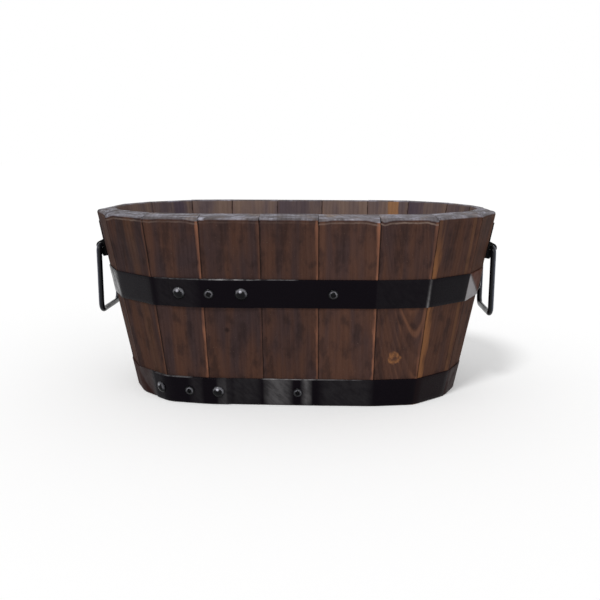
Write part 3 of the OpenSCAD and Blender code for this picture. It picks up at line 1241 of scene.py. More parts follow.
@dataclass
class StaveRing:
    """The twenty leaning staves of the wall."""

    plan: TubPlan
    finish: StainedWood
    spare: float = 30 * MM
    edge_round: float = 0.7 * MM
    groove_play: float = 0.1 * MM
    grid: float = 5 * MM
    rim_zone: float = 14 * MM
    corner_wear: float = 1.3 * MM
    seam_gap: float = 0.02 * MM
    chipping: float = 0.8 * MM
    sink: float = 0.4 * MM
    level_cuts: tuple[float, ...] = tuple(
        drop * MM for drop in (3.6, 5, 7, 9.5, 13, 30, 60, 90, 120, 150))
    depth_cuts: tuple[float, ...] = (0.34, 0.67)
    looks: dict[int, StaveLook] = field(default_factory=lambda: {
        4: StaveLook(Sawing.QUARTER, 0.86, 0.4, rub_and_gleam=0.3),
        16: StaveLook(Sawing.RIFT, 0.8, 0.15, rub_and_gleam=0.3),
        17: StaveLook(Sawing.RIFT, 0.83, 0.0, rub_and_gleam=0.3, crest=0.6,
                      streak=(8 * MM, 9 * MM, 0.12)),
        18: StaveLook(Sawing.QUARTER, 0.96, -0.05, rub_and_gleam=0.8, crest=0.35),
        19: StaveLook(Sawing.RIFT, 0.95, -0.02, rub_and_gleam=0.12, mark=(-6 * MM, -117 * MM, -4 * MM),
                      mirrored=True),
        0: StaveLook(Sawing.QUARTER, 0.94, -0.08, rub_and_gleam=0.65, mirrored=True),
        1: StaveLook(Sawing.RIFT, 1.1, 0.14, rub_and_gleam=0.8, crest=0.45),
        2: StaveLook(Sawing.CATHEDRAL, 1.0, 0.06, figure=(0.14, 0.5, 3.53 * MM), rub_and_gleam=0.35,
                     crest=0.85, mark=(-6 * MM, -148 * MM, 7.5 * MM)),
        3: StaveLook(Sawing.QUARTER, 0.98, 0.3, rub_and_gleam=0.12, sapwood=(0.9, 11 * MM), crest=0.02,
                     streak=(22 * MM, 3 * MM, 0.3)),
        7: StaveLook(Sawing.RIFT, 1.0, 0.0, streak=(15 * MM, 14 * MM, -0.5)),
        8: StaveLook(Sawing.QUARTER, 1.05, 0.1, streak=(-4 * MM, 8 * MM, 0.7)),
        9: StaveLook(Sawing.RIFT, 1.06, 0.2, mirrored=True),
        10: StaveLook(Sawing.QUARTER, 0.95, -0.25),
        11: StaveLook(Sawing.RIFT, 1.05, 0.2),
        12: StaveLook(Sawing.FLAT, 0.98, 0.05, sapwood=(0.35, 7.2 * MM)),
        13: StaveLook(Sawing.RIFT, 0.92, -0.1, streak=(-9 * MM, 10 * MM, -0.6)),
    })

    def look(self, k: int) -> StaveLook:
        """Gives a stave's look, made up from its number where none is set.

        Args:
            k: The stave's number.

        Returns:
            The look.
        """
        if k in self.looks:
            return self.looks[k]
        share = spread(k)
        sawing = (Sawing.RIFT, Sawing.FLAT, Sawing.QUARTER)[k % 3]
        return StaveLook(sawing, 0.95 + 0.1 * share, 0.3 * spread(k, 0.382) - 0.1,
                         rub_and_gleam=0.2 + 0.6 * spread(k, 0.724), crest=0.2 + 0.4 * share,
                         mirrored=k % 2 == 0)

    def stave(self, k: int) -> Piece:
        """Models stave k.

        Args:
            k: Its number, from the middle of the front.

        Returns:
            The stave.
        """
        plan = self.plan
        sink = self.sink * spread(k, 0.754)
        length = plan.edge_z / math.cos(plan.lean) + self.spare
        wall = plan.on_wall(k, 0, plan.edge_z)
        middle = wall @ Matrix.Translation((0, plan.stave_t / 2, -length / 2 - sink))
        piece = Bench.block(f"stave_{k + 1:02d}_wood",
                            (plan.width(k) + 2 * self.spare, plan.stave_t, length), middle)
        into = wall.inverted()
        with Bench.editing(piece):
            Bench.cut(Vector(), Vector((0, 0, -1)))
            self._groove(k, into)
            self._rim_edge(into, 0.0, plan.rim_round, 5)
            self._rim_edge(into, plan.stave_t, plan.rim_ease, 3)
            self._mesh_up(k, wall)
            for seam, sign in ((k, -1), (k + 1, 1)):
                point = plan.seam_at(seam, 0) - sign * self.seam_gap / 2 * plan.along(k)
                Bench.cut(point, sign * plan.seam_normal(seam))
        Bench.modify(piece, "BEVEL", width=self.edge_round, segments=2, limit_method="ANGLE",
                     angle_limit=math.radians(40), miter_outer="MITER_ARC")
        self._wear(piece, k, wall)
        Bench.smooth(piece, 35)
        self._mark(piece, k, wall)
        return piece

    def _groove(self, k: int, into: Matrix) -> None:
        """Sinks the level slot that takes the base into the stave in edit mode.

        Args:
            k: The stave's number.
            into: Takes the frame into the wall's own frame.
        """
        plan = self.plan
        low, high = plan.base_z - self.groove_play, plan.base_z + plan.base_t + self.groove_play
        for z in (low, high):
            Bench.cut(Vector((0, 0, z)), Vector((0, 0, 1)), drop=False)
        Bench.pick(Part.FACE, lambda at, normal: low < at.z < high
                   and (into.to_3x3() @ normal).y > 0.9)
        out = plan.outward(k)
        Bench.draw(out * plan.groove_d)
        # The floor's lower edge moves out until the floor stands upright
        floor = plan.rim_seams[k] @ out - plan.inset(low) - plan.wall_plan_t + plan.groove_d
        Bench.pick(Part.VERT, lambda at: abs(at.z - low) < 0.01 * MM
                   and abs(at @ out - floor) < 0.1 * MM)
        bpy.ops.transform.translate(value=out * (plan.inset(low) - plan.inset(high)))

    def _rim_edge(self, into: Matrix, through: float, radius: float, segments: int) -> None:
        """Rounds one long edge of the rim.

        Args:
            into: Takes the frame into the wall's own frame.
            through: How deep in the wall the edge lies.
            radius: Radius of the rounding.
            segments: Faces across it.
        """
        Bench.pick(Part.EDGE, lambda at, run: (into @ at).z > -1 * MM
                   and abs((into @ at).y - through) < 0.01 * MM
                   and abs((into.to_3x3() @ run).x) > 0.99 * run.length)
        bpy.ops.mesh.bevel(offset=radius, segments=segments, profile=0.5, affect="EDGES",
                           offset_type="OFFSET")

    def _mesh_up(self, k: int, wall: Matrix) -> None:
        """Cuts the board in edit mode into a finer mesh, finest at the rim.

        Args:
            k: The stave's number.
            wall: The wall's own frame.
        """
        width = self.plan.width(k)
        steps = math.ceil(width / self.grid)
        across = [(-width / 2 + step * width / steps, 0, 0) for step in range(1, steps)]
        levels = [(0, 0, -drop) for drop in self.level_cuts]
        depths = [(0, self.plan.stave_t * share, 0) for share in self.depth_cuts]
        for normal, points in (((1, 0, 0), across), ((0, 0, 1), levels), ((0, 1, 0), depths)):
            for point in points:
                Bench.cut(wall @ Vector(point), wall.to_3x3() @ Vector(normal), drop=False)

    def _wear(self, piece: Piece, k: int, wall: Matrix) -> None:
        """Rubs the outer rim edge away, most at the stave's corners.

        Args:
            piece: The stave.
            k: Its number.
            wall: The wall's own frame.
        """
        group = piece.vertex_groups.new(name="rim")
        corner = piece.vertex_groups.new(name="corner")
        half = self.plan.width(k) / 2
        for index, (u, v, w) in enumerate(Marks.inside(piece, wall)):
            edge = math.hypot(v, w)
            near = max(0.0, 1 - edge / self.rim_zone)
            group.add([index], near * near, "REPLACE")
            arch = min(1.0, abs(u) / half) ** 3
            corner.add([index], max(0.0, 1 - edge / (0.6 * self.rim_zone)) ** 1.5 * (0.2 + arch)
                       / 1.2, "REPLACE")
        chips = bpy.data.textures.new(f"rim_chips_{k}", "CLOUDS")
        chips.noise_scale = 0.009 + 0.002 * (k % 3)
        chips.noise_depth = 2
        Bench.modify(piece, "DISPLACE", strength=-self.corner_wear, mid_level=0.0,
                     vertex_group="corner")
        Bench.modify(piece, "DISPLACE", texture=chips, texture_coords="LOCAL", mid_level=0.62,
                     strength=self.chipping, vertex_group="rim")
        piece.vertex_groups.clear()

    def _mark(self, piece: Piece, k: int, wall: Matrix) -> None:
        """Stores on the stave what its finish reads.

        Args:
            piece: The stave.
            k: Its number.
            wall: The wall's own frame.
        """
        plan, look = self.plan, self.look(k)
        Marks.board(piece, wall)
        places = Marks.places(piece)
        left = Marks.past(places, plan.seam_at(k, 0), plan.seam_normal(k))
        right = Marks.past(places, plan.seam_at(k + 1, 0), -plan.seam_normal(k + 1))
        sap_w = np.full(len(places), look.sapwood[1])
        across, behind, tilt = look.sawing.value
        side = -1 if look.mirrored else 1
        for name, rows in (("arris", np.stack([left, right, sap_w], 1)),
                           ("figure", look.figure),
                           ("looks", (look.tone, look.warmth, 1 + k)),
                           ("wear", (look.rub_and_gleam, look.sapwood[0], look.crest)),
                           ("streak", look.streak), ("mark", look.mark),
                           ("pith", (side * across, behind, side * tilt))):
            Marks.vectors(piece, name, rows)

    def build(self) -> None:
        """Models and dresses every stave."""
        for k in range(self.plan.staves):
            Bench.hand_in(self.stave(k), "tub", "stained_wood", self.finish.material,
                          f"stave_{k + 1:02d}")


@dataclass
class Base:
    """Three boards in the staves' groove, joined by dowels, with drain holes in the middle one."""

    plan: TubPlan
    finish: PlainBoard
    dowel_finish: PlainBoard
    boards: int = 3
    gap: float = 0.3 * MM
    dowel_pitch: float = 160 * MM
    dowel_d: float = 6 * MM
    dowel_l: float = 36 * MM
    drain_d: float = 12 * MM
    drain_pitch: float = 110 * MM
    spare: float = 20 * MM

    @cached_property
    def inwards(self) -> float:
        """How far the base's edge lies in from the rim's outer edge."""
        plan = self.plan
        return (plan.inset(plan.base_z + plan.base_t) + plan.wall_plan_t - plan.groove_d
                + plan.seat_clear)

    @cached_property
    def half_depth(self) -> float:
        """Half the base's size across the tub."""
        return -self.plan.seam_at(0, self.inwards).y

    @cached_property
    def board_w(self) -> float:
        """Share of the base that one board takes."""
        return 2 * self.half_depth / self.boards

    def board(self, number: int) -> Piece:
        """Models one board.

        Args:
            number: Its number, from the front.

        Returns:
            The board.
        """
        plan = self.plan
        middle_y = -self.half_depth + (number - 0.5) * self.board_w
        place = Matrix.Translation((0, middle_y, plan.base_z + plan.base_t / 2))
        long = 2 * plan.seam_at(plan.right_end, self.inwards).x + self.spare
        piece = Bench.block(f"base_board_{number}_wood",
                            (long, self.board_w - self.gap, plan.base_t), place)
        with Bench.editing(piece):
            for k in range(plan.staves):
                Bench.cut(plan.seam_at(k, self.inwards), plan.outward(k))
        if number == (self.boards + 1) // 2:
            for step in (-1, 0, 1):
                Bench.clear()
                bpy.ops.mesh.primitive_cylinder_add(
                    vertices=48, radius=self.drain_d / 2, depth=3 * plan.base_t,
                    location=(step * self.drain_pitch, middle_y, plan.base_z + plan.base_t / 2))
                Bench.combined(piece, Bench.named("drain_cutter"))
        Bench.soften(piece, 0.8 * MM, 2)
        grain = Matrix.Translation((0, middle_y, plan.base_z)) @ Matrix(
            ((0, 0, 1, 0), (1, 0, 0, 0), (0, 1, 0, 0), (0, 0, 0, 1)))
        Marks.board(piece, grain)
        Marks.vectors(piece, "looks", (
            0.9 + 0.12 * spread(number), 0.15 * (number - 2), 40 + number))
        Marks.vectors(piece, "pith", (
            (number - 2) * 22 * MM + 5 * MM, -26 * MM, 0.05 * (number - 1.6)))
        return piece

    def dowels(self) -> Piece:
        """Models the dowels, with chamfered ends, as one piece.

        Returns:
            The dowels.
        """
        plan = self.plan
        Bench.clear()
        bpy.ops.mesh.primitive_cylinder_add(vertices=32, radius=self.dowel_d / 2,
                                            depth=self.dowel_l,
                                            rotation=(math.radians(90), 0, 0))
        first = Bench.named("dowel")
        Bench.settle(first)
        Bench.soften(first, 0.8 * MM, 1)
        made = []
        for joint in range(1, self.boards):
            for side in (-1, 1):
                at = Vector((side * self.dowel_pitch / 2,
                             -self.half_depth + joint * self.board_w,
                             plan.base_z + plan.base_t / 2))
                made.append(Bench.copied(first, Matrix.Translation(at)))
        bpy.data.objects.remove(first)
        piece = Bench.joined(made, "base_dowels_wood")
        grain = Matrix.Rotation(math.radians(90), 4, "X")
        Marks.board(piece, grain)
        Marks.vectors(piece, "looks", (1.1, 0.3, 50.0))
        Marks.vectors(piece, "pith", (9 * MM, 4 * MM, 0.0))
        return piece

    def build(self) -> None:
        """Models and dresses the boards and the dowels."""
        for number in range(1, self.boards + 1):
            Bench.hand_in(self.board(number), "tub", "base_wood", self.finish.material,
                          f"base_board_{number}")
        Bench.hand_in(self.dowels(), "tub", "dowel_wood", self.dowel_finish.material, "base_dowels")


@dataclass(frozen=True)
class Seat:
    """Where a fastener sits on a strap.

    Places are shares of the stave's or the strap's width, from its middle.
    """

    stave: int
    along: float
    up: float = 0.0
    straps: int = 1
    # How bright the highlight painted on the head is
    wear_and_gleam: float = 0.8


@dataclass(frozen=True)
class StrapGleam:
    """A stretch of one stave where reflections and highlights are painted on a strap's face and
    upper edge.

    Places are shares of the stave's width, from its middle. They move on by the lean, of the
    start and of the end, from the strap's lower edge to its upper edge.
    """

    stave: int
    start: float
    end: float
    face: float = 0.0
    edge: float = 0.0
    brown: float = 0.0
    fade: float = 3 * MM
    lean: tuple[float, float] = (0.0, 0.0)


@dataclass
class Fasteners:
    """The rivets and screws, each modelled once and copied."""

    rivet_d: float = 13.5 * MM
    rivet_h: float = 3.7 * MM
    rivet_rim_h: float = 0.5 * MM
    rivet_shank_d: float = 5 * MM
    screw_d: float = 10 * MM
    screw_h: float = 2.9 * MM
    screw_shank_d: float = 3.5 * MM
    screw_l: float = 11 * MM
    point_l: float = 3 * MM
    head_turn: float = 47
    strap_t: float = 1.2 * MM

    @cached_property
    def rivet(self) -> Piece:
        """A domed head on its shank.

        Returns:
            The rivet, with Z out of the wall and the strap's face at zero.
        """
        ball_r = ((self.rivet_d / 2) ** 2 + self.rivet_h ** 2) / (2 * self.rivet_h)
        Bench.clear()
        bpy.ops.mesh.primitive_uv_sphere_add(segments=40, ring_count=36, radius=ball_r,
                                             location=(0, 0, self.rivet_h - ball_r))
        piece = Bench.named("rivet")
        Bench.settle(piece)
        with Bench.editing(piece):
            self._foot(self.rivet_rim_h)
            self._shank(self.rivet_d / 2, self.rivet_shank_d / 2, 2 * self.strap_t)
        hammer = bpy.data.textures.new("hammer_marks", "CLOUDS")
        hammer.noise_scale = 4 * MM
        Bench.modify(piece, "DISPLACE", texture=hammer, texture_coords="LOCAL", mid_level=0.5,
                     strength=0.16 * MM)
        Bench.soften(piece, 0.25 * MM, 2, 50)
        return piece

    @staticmethod
    def _foot(rim_h: float) -> None:
        """Cuts a ball flat in edit mode and draws the flat face down to zero, as a head's rim.

        Args:
            rim_h: Height of the rim.
        """
        Bench.cut(Vector((0, 0, rim_h)), Vector((0, 0, -1)))
        Bench.pick(Part.FACE, lambda at, normal: normal.z < -0.99)
        Bench.draw((0, 0, -rim_h))

    @staticmethod
    def _shank(from_r: float, to_r: float, depth: float) -> None:
        """Draws a shank out of the picked round face, downwards.

        Args:
            from_r: Radius of the face.
            to_r: Radius of the shank.
            depth: Length of the shank.
        """
        bpy.ops.mesh.inset(thickness=from_r - to_r, depth=0)
        Bench.draw((0, 0, -depth))

    @cached_property
    def screw(self) -> Piece:
        """A pan head with a cross recess on a pointed shank.

        Returns:
            The screw, with Z out of the wall and the strap's face at zero.
        """
        rim_h = 0.35 * self.screw_h
        rise = self.screw_h - rim_h
        ball_r = ((self.screw_d / 2) ** 2 + rise ** 2) / (2 * rise)
        Bench.clear()
        bpy.ops.mesh.primitive_uv_sphere_add(segments=40, ring_count=40, radius=ball_r,
                                             location=(0, 0, self.screw_h - ball_r))
        piece = Bench.named("screw")
        Bench.settle(piece)
        with Bench.editing(piece):
            self._foot(rim_h)
            self._shank(self.screw_d / 2, self.screw_shank_d / 2, self.screw_l - self.point_l)
            Bench.draw((0, 0, -self.point_l))
            bpy.ops.transform.resize(value=(0.17, 0.17, 1))
        for turn in (20, 110):
            place = (Matrix.Rotation(math.radians(turn), 4, "Z")
                     @ Matrix.Translation((0, 0, self.screw_h)))
            cutter = Bench.block("cross_cutter",
                                 (self.screw_d * 0.56, self.screw_d * 0.13, self.screw_h), place)
            Bench.combined(piece, cutter)
        Bench.soften(piece, 0.18 * MM, 2, 40)
        return piece

    def placed(self, kind: Piece, name: str, places: list[Matrix], wear_and_gleam: list[float]) -> Piece:
        """Copies a fastener to each of its places, as one piece.

        Args:
            kind: The fastener.
            name: Name of the piece.
            places: Where the heads sit, with Z out of the wall.
            wear_and_gleam: How bright a highlight is painted on each head, up to 0.99.

        Returns:
            The piece.
        """
        made = []
        radius = max(kind.dimensions.x, kind.dimensions.y) / 2
        for number, place in enumerate(places):
            turn = Matrix.Rotation(math.radians(self.head_turn * number), 4, "Z")
            head = Bench.copied(kind, place @ turn)
            local = Marks.inside(head, place) / radius
            # Stores how bright the head's painted highlight is, plus 1 on a screw
            local[:, 2] = wear_and_gleam[number] + (1 if kind is self.screw else 0)
            Marks.vectors(head, "head", local)
            made.append(head)
        return Bench.joined(made, name)

    def drop_patterns(self) -> None:
        """Removes the two fasteners that the copies were made from."""
        for piece in (self.rivet, self.screw):
            bpy.data.objects.remove(piece)


@dataclass
class Hoop:
    """A steel strap bent round the tub, with its own end lapped, riveted and screwed."""

    plan: TubPlan
    fasteners: Fasteners
    finish: BlackSteel
    bright: BlackSteel
    name: str = "hoop"
    low_z: float = 1 * MM
    lap: tuple[Seat, ...] = ()
    rivets: tuple[Seat, ...] = ()
    screws: tuple[Seat, ...] = ()
    # Stretches of painted reflection and highlight, and bends that get a painted highlight
    gleams: tuple[StrapGleam, ...] = ()
    bright_bends: tuple[int, ...] = ()
    strap_w: float = 30 * MM
    strap_t: float = 1.2 * MM
    lap_lift: float = 1.02
    bend: float = 2.4 * MM
    bend_steps: int = 4
    joggle: float = 9 * MM
    ripple: float = 0.35 * MM
    ripple_scale: float = 34 * MM
    grid: float = 9 * MM
    fine_grid: float = 4 * MM
    rows: int = 8
    gate_reach: float = 14 * MM
    facet_depth: float = 12 * MM
    edge_w: float = 1 * MM
    seam_fade: float = 1.5 * MM
    # The painted bend highlight's strength at its foot and head, and its width
    bend_gleam: tuple[float, float] = (1.5, 0.6)
    bend_gleam_w: float = 1.6 * MM

    @cached_property
    def rise(self) -> float:
        """Height of the strap."""
        return self.strap_w * math.cos(self.plan.lean)

    def _gate(self, seat: Seat, shift: float = 0) -> Gate:
        """Gives the upright plane across the strap at a seat.

        Args:
            seat: The seat.
            shift: How far on along the strap the plane stands.

        Returns:
            A point of the plane and its normal, which points on along the ring.
        """
        plan = self.plan
        u = seat.along * plan.width(seat.stave) + shift
        return plan.wall_point(seat.stave, u, self.low_z), plan.along(seat.stave)

    def _skin(self) -> Piece:
        """Models the strap's inner face as a ring of flat facets with soft bends.

        Returns:
            The face, which has no thickness yet.
        """
        plan = self.plan
        deep = 2.2 * plan.rim_seams[plan.right_end].x
        place = Matrix.Translation((0, 0, self.low_z + self.rise / 2))
        piece = Bench.block(f"{self.name}_strap", (deep, deep, self.rise), place)
        with Bench.editing(piece):
            for k in range(plan.staves):
                wall = plan.on_wall(k, 0, plan.edge_z)
                out = wall.to_3x3() @ Vector((0, -1, 0))
                Bench.cut(wall.translation + out * plan.seat_clear, out)
            Bench.pick(Part.FACE, lambda at, normal: abs(normal.z) > 0.9)
            bpy.ops.mesh.delete(type="ONLY_FACE")
            Bench.pick(Part.EDGE, lambda at, run: abs(run.z) > 0.5 * run.length)
            bpy.ops.mesh.bevel(offset=self.bend, segments=self.bend_steps, profile=0.5,
                               affect="EDGES")
            for row in range(1, self.rows):
                Bench.cut(Vector((0, 0, self.low_z + row / self.rows * self.rise)),
                          Vector((0, 0, 1)), drop=False)
            for k in range(plan.staves):
                # A facet with a slanted painted highlight gets a finer mesh
                leans = any(rub_and_gleam.stave == k and any(rub_and_gleam.lean) for rub_and_gleam in self.gleams)
                parts = math.ceil(plan.width(k) / (self.fine_grid if leans else self.grid))
                for part in range(1, parts):
                    self._cross(k, (part / parts - 0.5) * plan.width(k) * 0.8)
        return piece

    def _cross(self, k: int, u: float) -> None:
        """Cuts the strap in edit mode across one facet.

        Args:
            k: The stave that the facet lies on.
            u: Where the cut lies along it.
        """
        plan = self.plan
        point, along, out = plan.wall_point(k, u, self.low_z), plan.along(k), plan.outward(k)
        if Bench.pick(Part.FACE, lambda at, normal: normal @ out > 0.9
                      and abs((at - point) @ along) < plan.width(k) / 2
                      and abs((at - point) @ out) < self.facet_depth):
            Bench.slit(point, along)

    @staticmethod
    def _between(first: Gate, last: Gate) -> Callable[[Vector, Vector], bool]:
        """Makes the test for the faces on the front from one gate to the next one on.

        Args:
            first: The gate that they start at.
            last: The gate that they end at.

        Returns:
            The test, which gets a face's middle and normal.
        """
        return lambda at, normal: ((at - first[0]) @ first[1] > 0
                                   and (at - last[0]) @ last[1] < 0 and at.y < 0)

    def strap(self) -> Piece:
        """Models the strap.

        Returns:
            The strap.
        """
        piece = self._skin()
        start, end = self._gate(self.lap[0]), self._gate(self.lap[1])
        landing = self._gate(self.lap[1], self.joggle)
        with Bench.editing(piece):
            for point, on in (start, end, landing):
                if Bench.pick(Part.FACE, lambda at, normal: at.y < 0
                              and abs((at - point) @ on) < self.gate_reach
                              and abs((at - point) @ Vector((-on.y, on.x, 0)))
                              < self.gate_reach):
                    Bench.slit(point, on)
            Bench.pick(Part.FACE, self._between(start, landing))
            bpy.ops.mesh.split()
            Bench.pick(Part.FACE, self._between(start, end))
            bpy.ops.mesh.split()
            bpy.ops.mesh.duplicate()
            bpy.ops.transform.shrink_fatten(value=self.strap_t * self.lap_lift,
                                            use_even_offset=True)
        self._joggle(piece, end, landing)
        self._ripple(piece)
        Bench.modify(piece, "SOLIDIFY", thickness=self.strap_t, offset=1, use_even_offset=True)
        Bench.soften(piece, 0.28 * MM, 2, 55)
        self._paint_gleams(piece)
        return piece

    def _joggle(self, piece: Piece, end: Gate, landing: Gate) -> None:
        """Steps the strap up from the wall onto its own end, and joins its parts into one strip.

        Args:
            piece: The strap.
            end: The gate where the strap comes off its own end.
            landing: The gate where it lies on the wall again.
        """
        out = self.plan.on_wall(self.lap[1].stave, 0, 0).to_3x3() @ Vector((0, -1, 0))
        with Bench.editing(piece):
            Bench.pick(Part.FACE, self._between(end, landing))
            edit = bmesh.from_edit_mesh(piece.data)
            step = [vert for vert in edit.verts if vert.select
                    and abs((vert.co - end[0]) @ end[1]) < 0.01 * MM]
            bpy.ops.mesh.select_mode(type=Part.VERT.value)
            bpy.ops.mesh.select_all(action="DESELECT")
            for vert in step:
                vert.select = True
            edit.select_flush_mode()
            bmesh.update_edit_mesh(piece.data)
            bpy.ops.transform.translate(value=out * self.strap_t * self.lap_lift)
            bpy.ops.mesh.select_all(action="SELECT")
            bpy.ops.mesh.remove_doubles(threshold=0.05 * MM)

    def _ripple(self, piece: Piece) -> None:
        """Gives the strap the slight swells of steel bent by hand, away from the wall.

        Args:
            piece: The strap.
        """
        swell = bpy.data.textures.new(f"{self.name}_swell", "CLOUDS")
        swell.noise_scale = self.ripple_scale
        swell.noise_depth = 1
        Bench.modify(piece, "DISPLACE", texture=swell, texture_coords="LOCAL", mid_level=0.35,
                     strength=self.ripple)

    def _paint_gleams(self, piece: Piece) -> None:
        """Stores on the strap where light is painted on its face and its upper edge.

        Args:
            piece: The strap.
        """
        places = Marks.places(piece)
        up = (places[:, 2] - self.low_z) / self.rise
        top = places[:, 2] > self.low_z + self.rise - self.edge_w
        worn = np.zeros((len(places), 3))
        for rub_and_gleam in self.gleams:
            amounts = np.array([rub_and_gleam.face, rub_and_gleam.edge, rub_and_gleam.brown])
            worn = np.maximum(worn, self._share(rub_and_gleam, places, up)[:, None] * amounts)
        # A painted highlight along each bright bend
        for seam in self.bright_bends:
            worn[:, 0] = np.maximum(worn[:, 0], self._bend_share(seam, places, up))
        Marks.vectors(piece, "scuff_and_gleam", worn)
        Marks.vectors(piece, "upper_edge", top[:, None])

    def _share(self, rub_and_gleam: StrapGleam, places: np.ndarray, up: np.ndarray) -> np.ndarray:
        """Tells how far each vertex of the strap lies in a stretch of painted light.

        Args:
            rub_and_gleam: The stretch.
            places: The vertices' places.
            up: Their heights, as shares of the strap's.

        Returns:
            From 0 outside the stretch to 1 inside it.
        """
        plan, k = self.plan, rub_and_gleam.stave
        middle = plan.wall_point(k, 0, self.low_z)
        along = Marks.past(places, middle, plan.along(k)) / plan.width(k)
        near = np.abs(Marks.past(places, middle, plan.outward(k))) < self.facet_depth
        inside = np.minimum(along - rub_and_gleam.start - rub_and_gleam.lean[0] * up,
                            rub_and_gleam.end + rub_and_gleam.lean[1] * up - along)
        beyond = np.maximum(
            Marks.past(places, plan.seam_at(k, 0), -plan.seam_normal(k)),
            Marks.past(places, plan.seam_at(k + 1, 0), plan.seam_normal(k + 1)))
        fade = rub_and_gleam.fade / plan.width(k)
        return (near * np.clip(1 + inside / fade, 0, 1)
                * np.clip(1 - beyond / self.seam_fade, 0, 1))

    def _bend_share(self, seam: int, places: np.ndarray, up: np.ndarray) -> np.ndarray:
        """Tells how bright a highlight is painted on each vertex of the strap, along the bend over
        a seam.

        Args:
            seam: The seam's number.
            places: The vertices' places.
            up: Their heights, as shares of the strap's.

        Returns:
            From 0 away from the bend to the most, which is reached at its foot.
        """
        point = self.plan.seam_at(seam, 0)
        away = np.abs(Marks.past(places, point, self.plan.seam_normal(seam)))
        near = np.linalg.norm((places - np.array(point))[:, :2], axis=1) < self.strap_w
        foot, head = self.bend_gleam
        return near * np.clip(1.2 - away / self.bend_gleam_w, 0, 1) * (foot + (head - foot) * up)

    def _heads(self, seats: tuple[Seat, ...]) -> list[Matrix]:
        """Gives the places of heads on the strap.

        Args:
            seats: Where they sit.

        Returns:
            Their places, with Z out of the wall.
        """
        plan = self.plan
        places = []
        for seat in seats:
            out = plan.seat_clear + seat.straps * self.strap_t
            wall = plan.on_wall(seat.stave, seat.along * plan.width(seat.stave),
                                self.low_z + (seat.up + 0.5) * self.rise)
            places.append(wall @ Matrix.Translation((0, -out, 0))
                          @ Matrix.Rotation(math.radians(90), 4, "X"))
        return places

    def build(self) -> None:
        """Models and dresses the strap, its rivets and its screws."""
        Bench.hand_in(self.strap(), "tub", "hoop_steel", self.finish.material, self.name)
        for kind, pattern, seats in (("rivets", self.fasteners.rivet, self.rivets),
                                     ("screws", self.fasteners.screw, self.screws)):
            node = f"{self.name}_{kind}"
            piece = self.fasteners.placed(pattern, f"{node}_heads", self._heads(seats),
                                          [seat.wear_and_gleam for seat in seats])
            Bench.hand_in(piece, "tub", "fastener_steel", self.bright.material, node)


@dataclass
class MiddleHoop(Hoop):
    """The upper hoop, with a painted brown reflection and a painted highlight round the front right
    turn.
    """

    name: str = "middle_hoop"
    drop: float = 64 * MM
    lap: tuple[Seat, ...] = (Seat(18, -0.095), Seat(19, 0.32))
    rivets: tuple[Seat, ...] = (Seat(18, 0.062, straps=2), Seat(19, 0.174, straps=2))
    screws: tuple[Seat, ...] = (
        Seat(19, -0.37, straps=2), Seat(1, -0.244), Seat(5, -0.328, -0.2), Seat(9, -0.202),
        Seat(11, 0.269), Seat(15, -0.262, -0.133))
    # Painted light: edge highlights at the lap, brown reflection and a highlight triangle on the
    # right turn
    gleams: tuple[StrapGleam, ...] = (
        StrapGleam(18, -0.3, 0.5, edge=0.2), StrapGleam(18, -0.3, 0.4, face=0.06),
        StrapGleam(19, -0.5, 0.1, edge=0.8), StrapGleam(19, 0.1, 0.5, edge=0.4), StrapGleam(0, -0.5, 0.1, edge=0.3),
        StrapGleam(2, -0.5, 0.5, face=0.04), StrapGleam(4, -0.5, 0.5, brown=1.6),
        StrapGleam(5, -0.5, -0.4, brown=1.6, fade=20 * MM),
        StrapGleam(4, -0.5, 0.45, face=1.8, lean=(0.0, -1.0), fade=5 * MM))
    bright_bends: tuple[int, ...] = (3,)
    ripple: float = 0.2 * MM

    def __post_init__(self) -> None:
        """Hangs the strap at its drop below the rim."""
        self.low_z = self.plan.height - self.drop - self.rise


@dataclass
class BottomHoop(Hoop):
    """The hoop round the foot, softly bent and with the more painted reflections of the two."""

    name: str = "bottom_hoop"
    lap: tuple[Seat, ...] = (Seat(17, 0.015), Seat(19, -0.14))
    rivets: tuple[Seat, ...] = (Seat(17, 0.2, straps=2, wear_and_gleam=0.5), Seat(19, -0.299, straps=2))
    screws: tuple[Seat, ...] = (
        Seat(18, 0.092, straps=2), Seat(0, 0.132, wear_and_gleam=0.6), Seat(5, 0.092, wear_and_gleam=0.3),
        Seat(8, -0.104, wear_and_gleam=0.5), Seat(11, -0.235), Seat(14, 0.073, wear_and_gleam=0.3))
    # Painted light: reflections of the dents, edge highlights, and brown reflections at both ends
    gleams: tuple[StrapGleam, ...] = (
        StrapGleam(17, 0.1, 0.5, edge=0.2), StrapGleam(18, -0.5, 0.1, edge=0.3), StrapGleam(18, 0.15, 0.3, face=0.1),
        StrapGleam(17, -0.05, 0.0, face=0.32, lean=(-0.45, 0.0), fade=4 * MM),
        StrapGleam(19, -0.24, -0.2, face=0.5, fade=5 * MM), StrapGleam(19, 0.0, 0.35, face=0.13, fade=8 * MM),
        StrapGleam(0, -0.36, -0.1, face=0.66, fade=9 * MM), StrapGleam(0, 0.27, 0.33, face=0.75, fade=4 * MM),
        StrapGleam(0, -0.5, 0.5, edge=0.6), StrapGleam(1, -0.5, 0.0, edge=0.35, fade=20 * MM),
        StrapGleam(1, -0.35, 0.35, face=0.12, fade=9 * MM), StrapGleam(15, 0.2, 0.5, brown=0.9, fade=22 * MM),
        StrapGleam(16, -0.5, -0.25, brown=1.4, fade=18 * MM), StrapGleam(16, -0.3, 0.5, brown=0.9),
        StrapGleam(17, -0.5, -0.1, brown=0.8, fade=6 * MM),
        StrapGleam(3, -0.5, 0.5, brown=0.15, fade=12 * MM), StrapGleam(4, -0.5, 0.5, brown=0.6),
        StrapGleam(5, -0.5, 0.5, brown=0.3))
    bend: float = 7.5 * MM
    bend_steps: int = 7
    ripple: float = 0.7 * MM


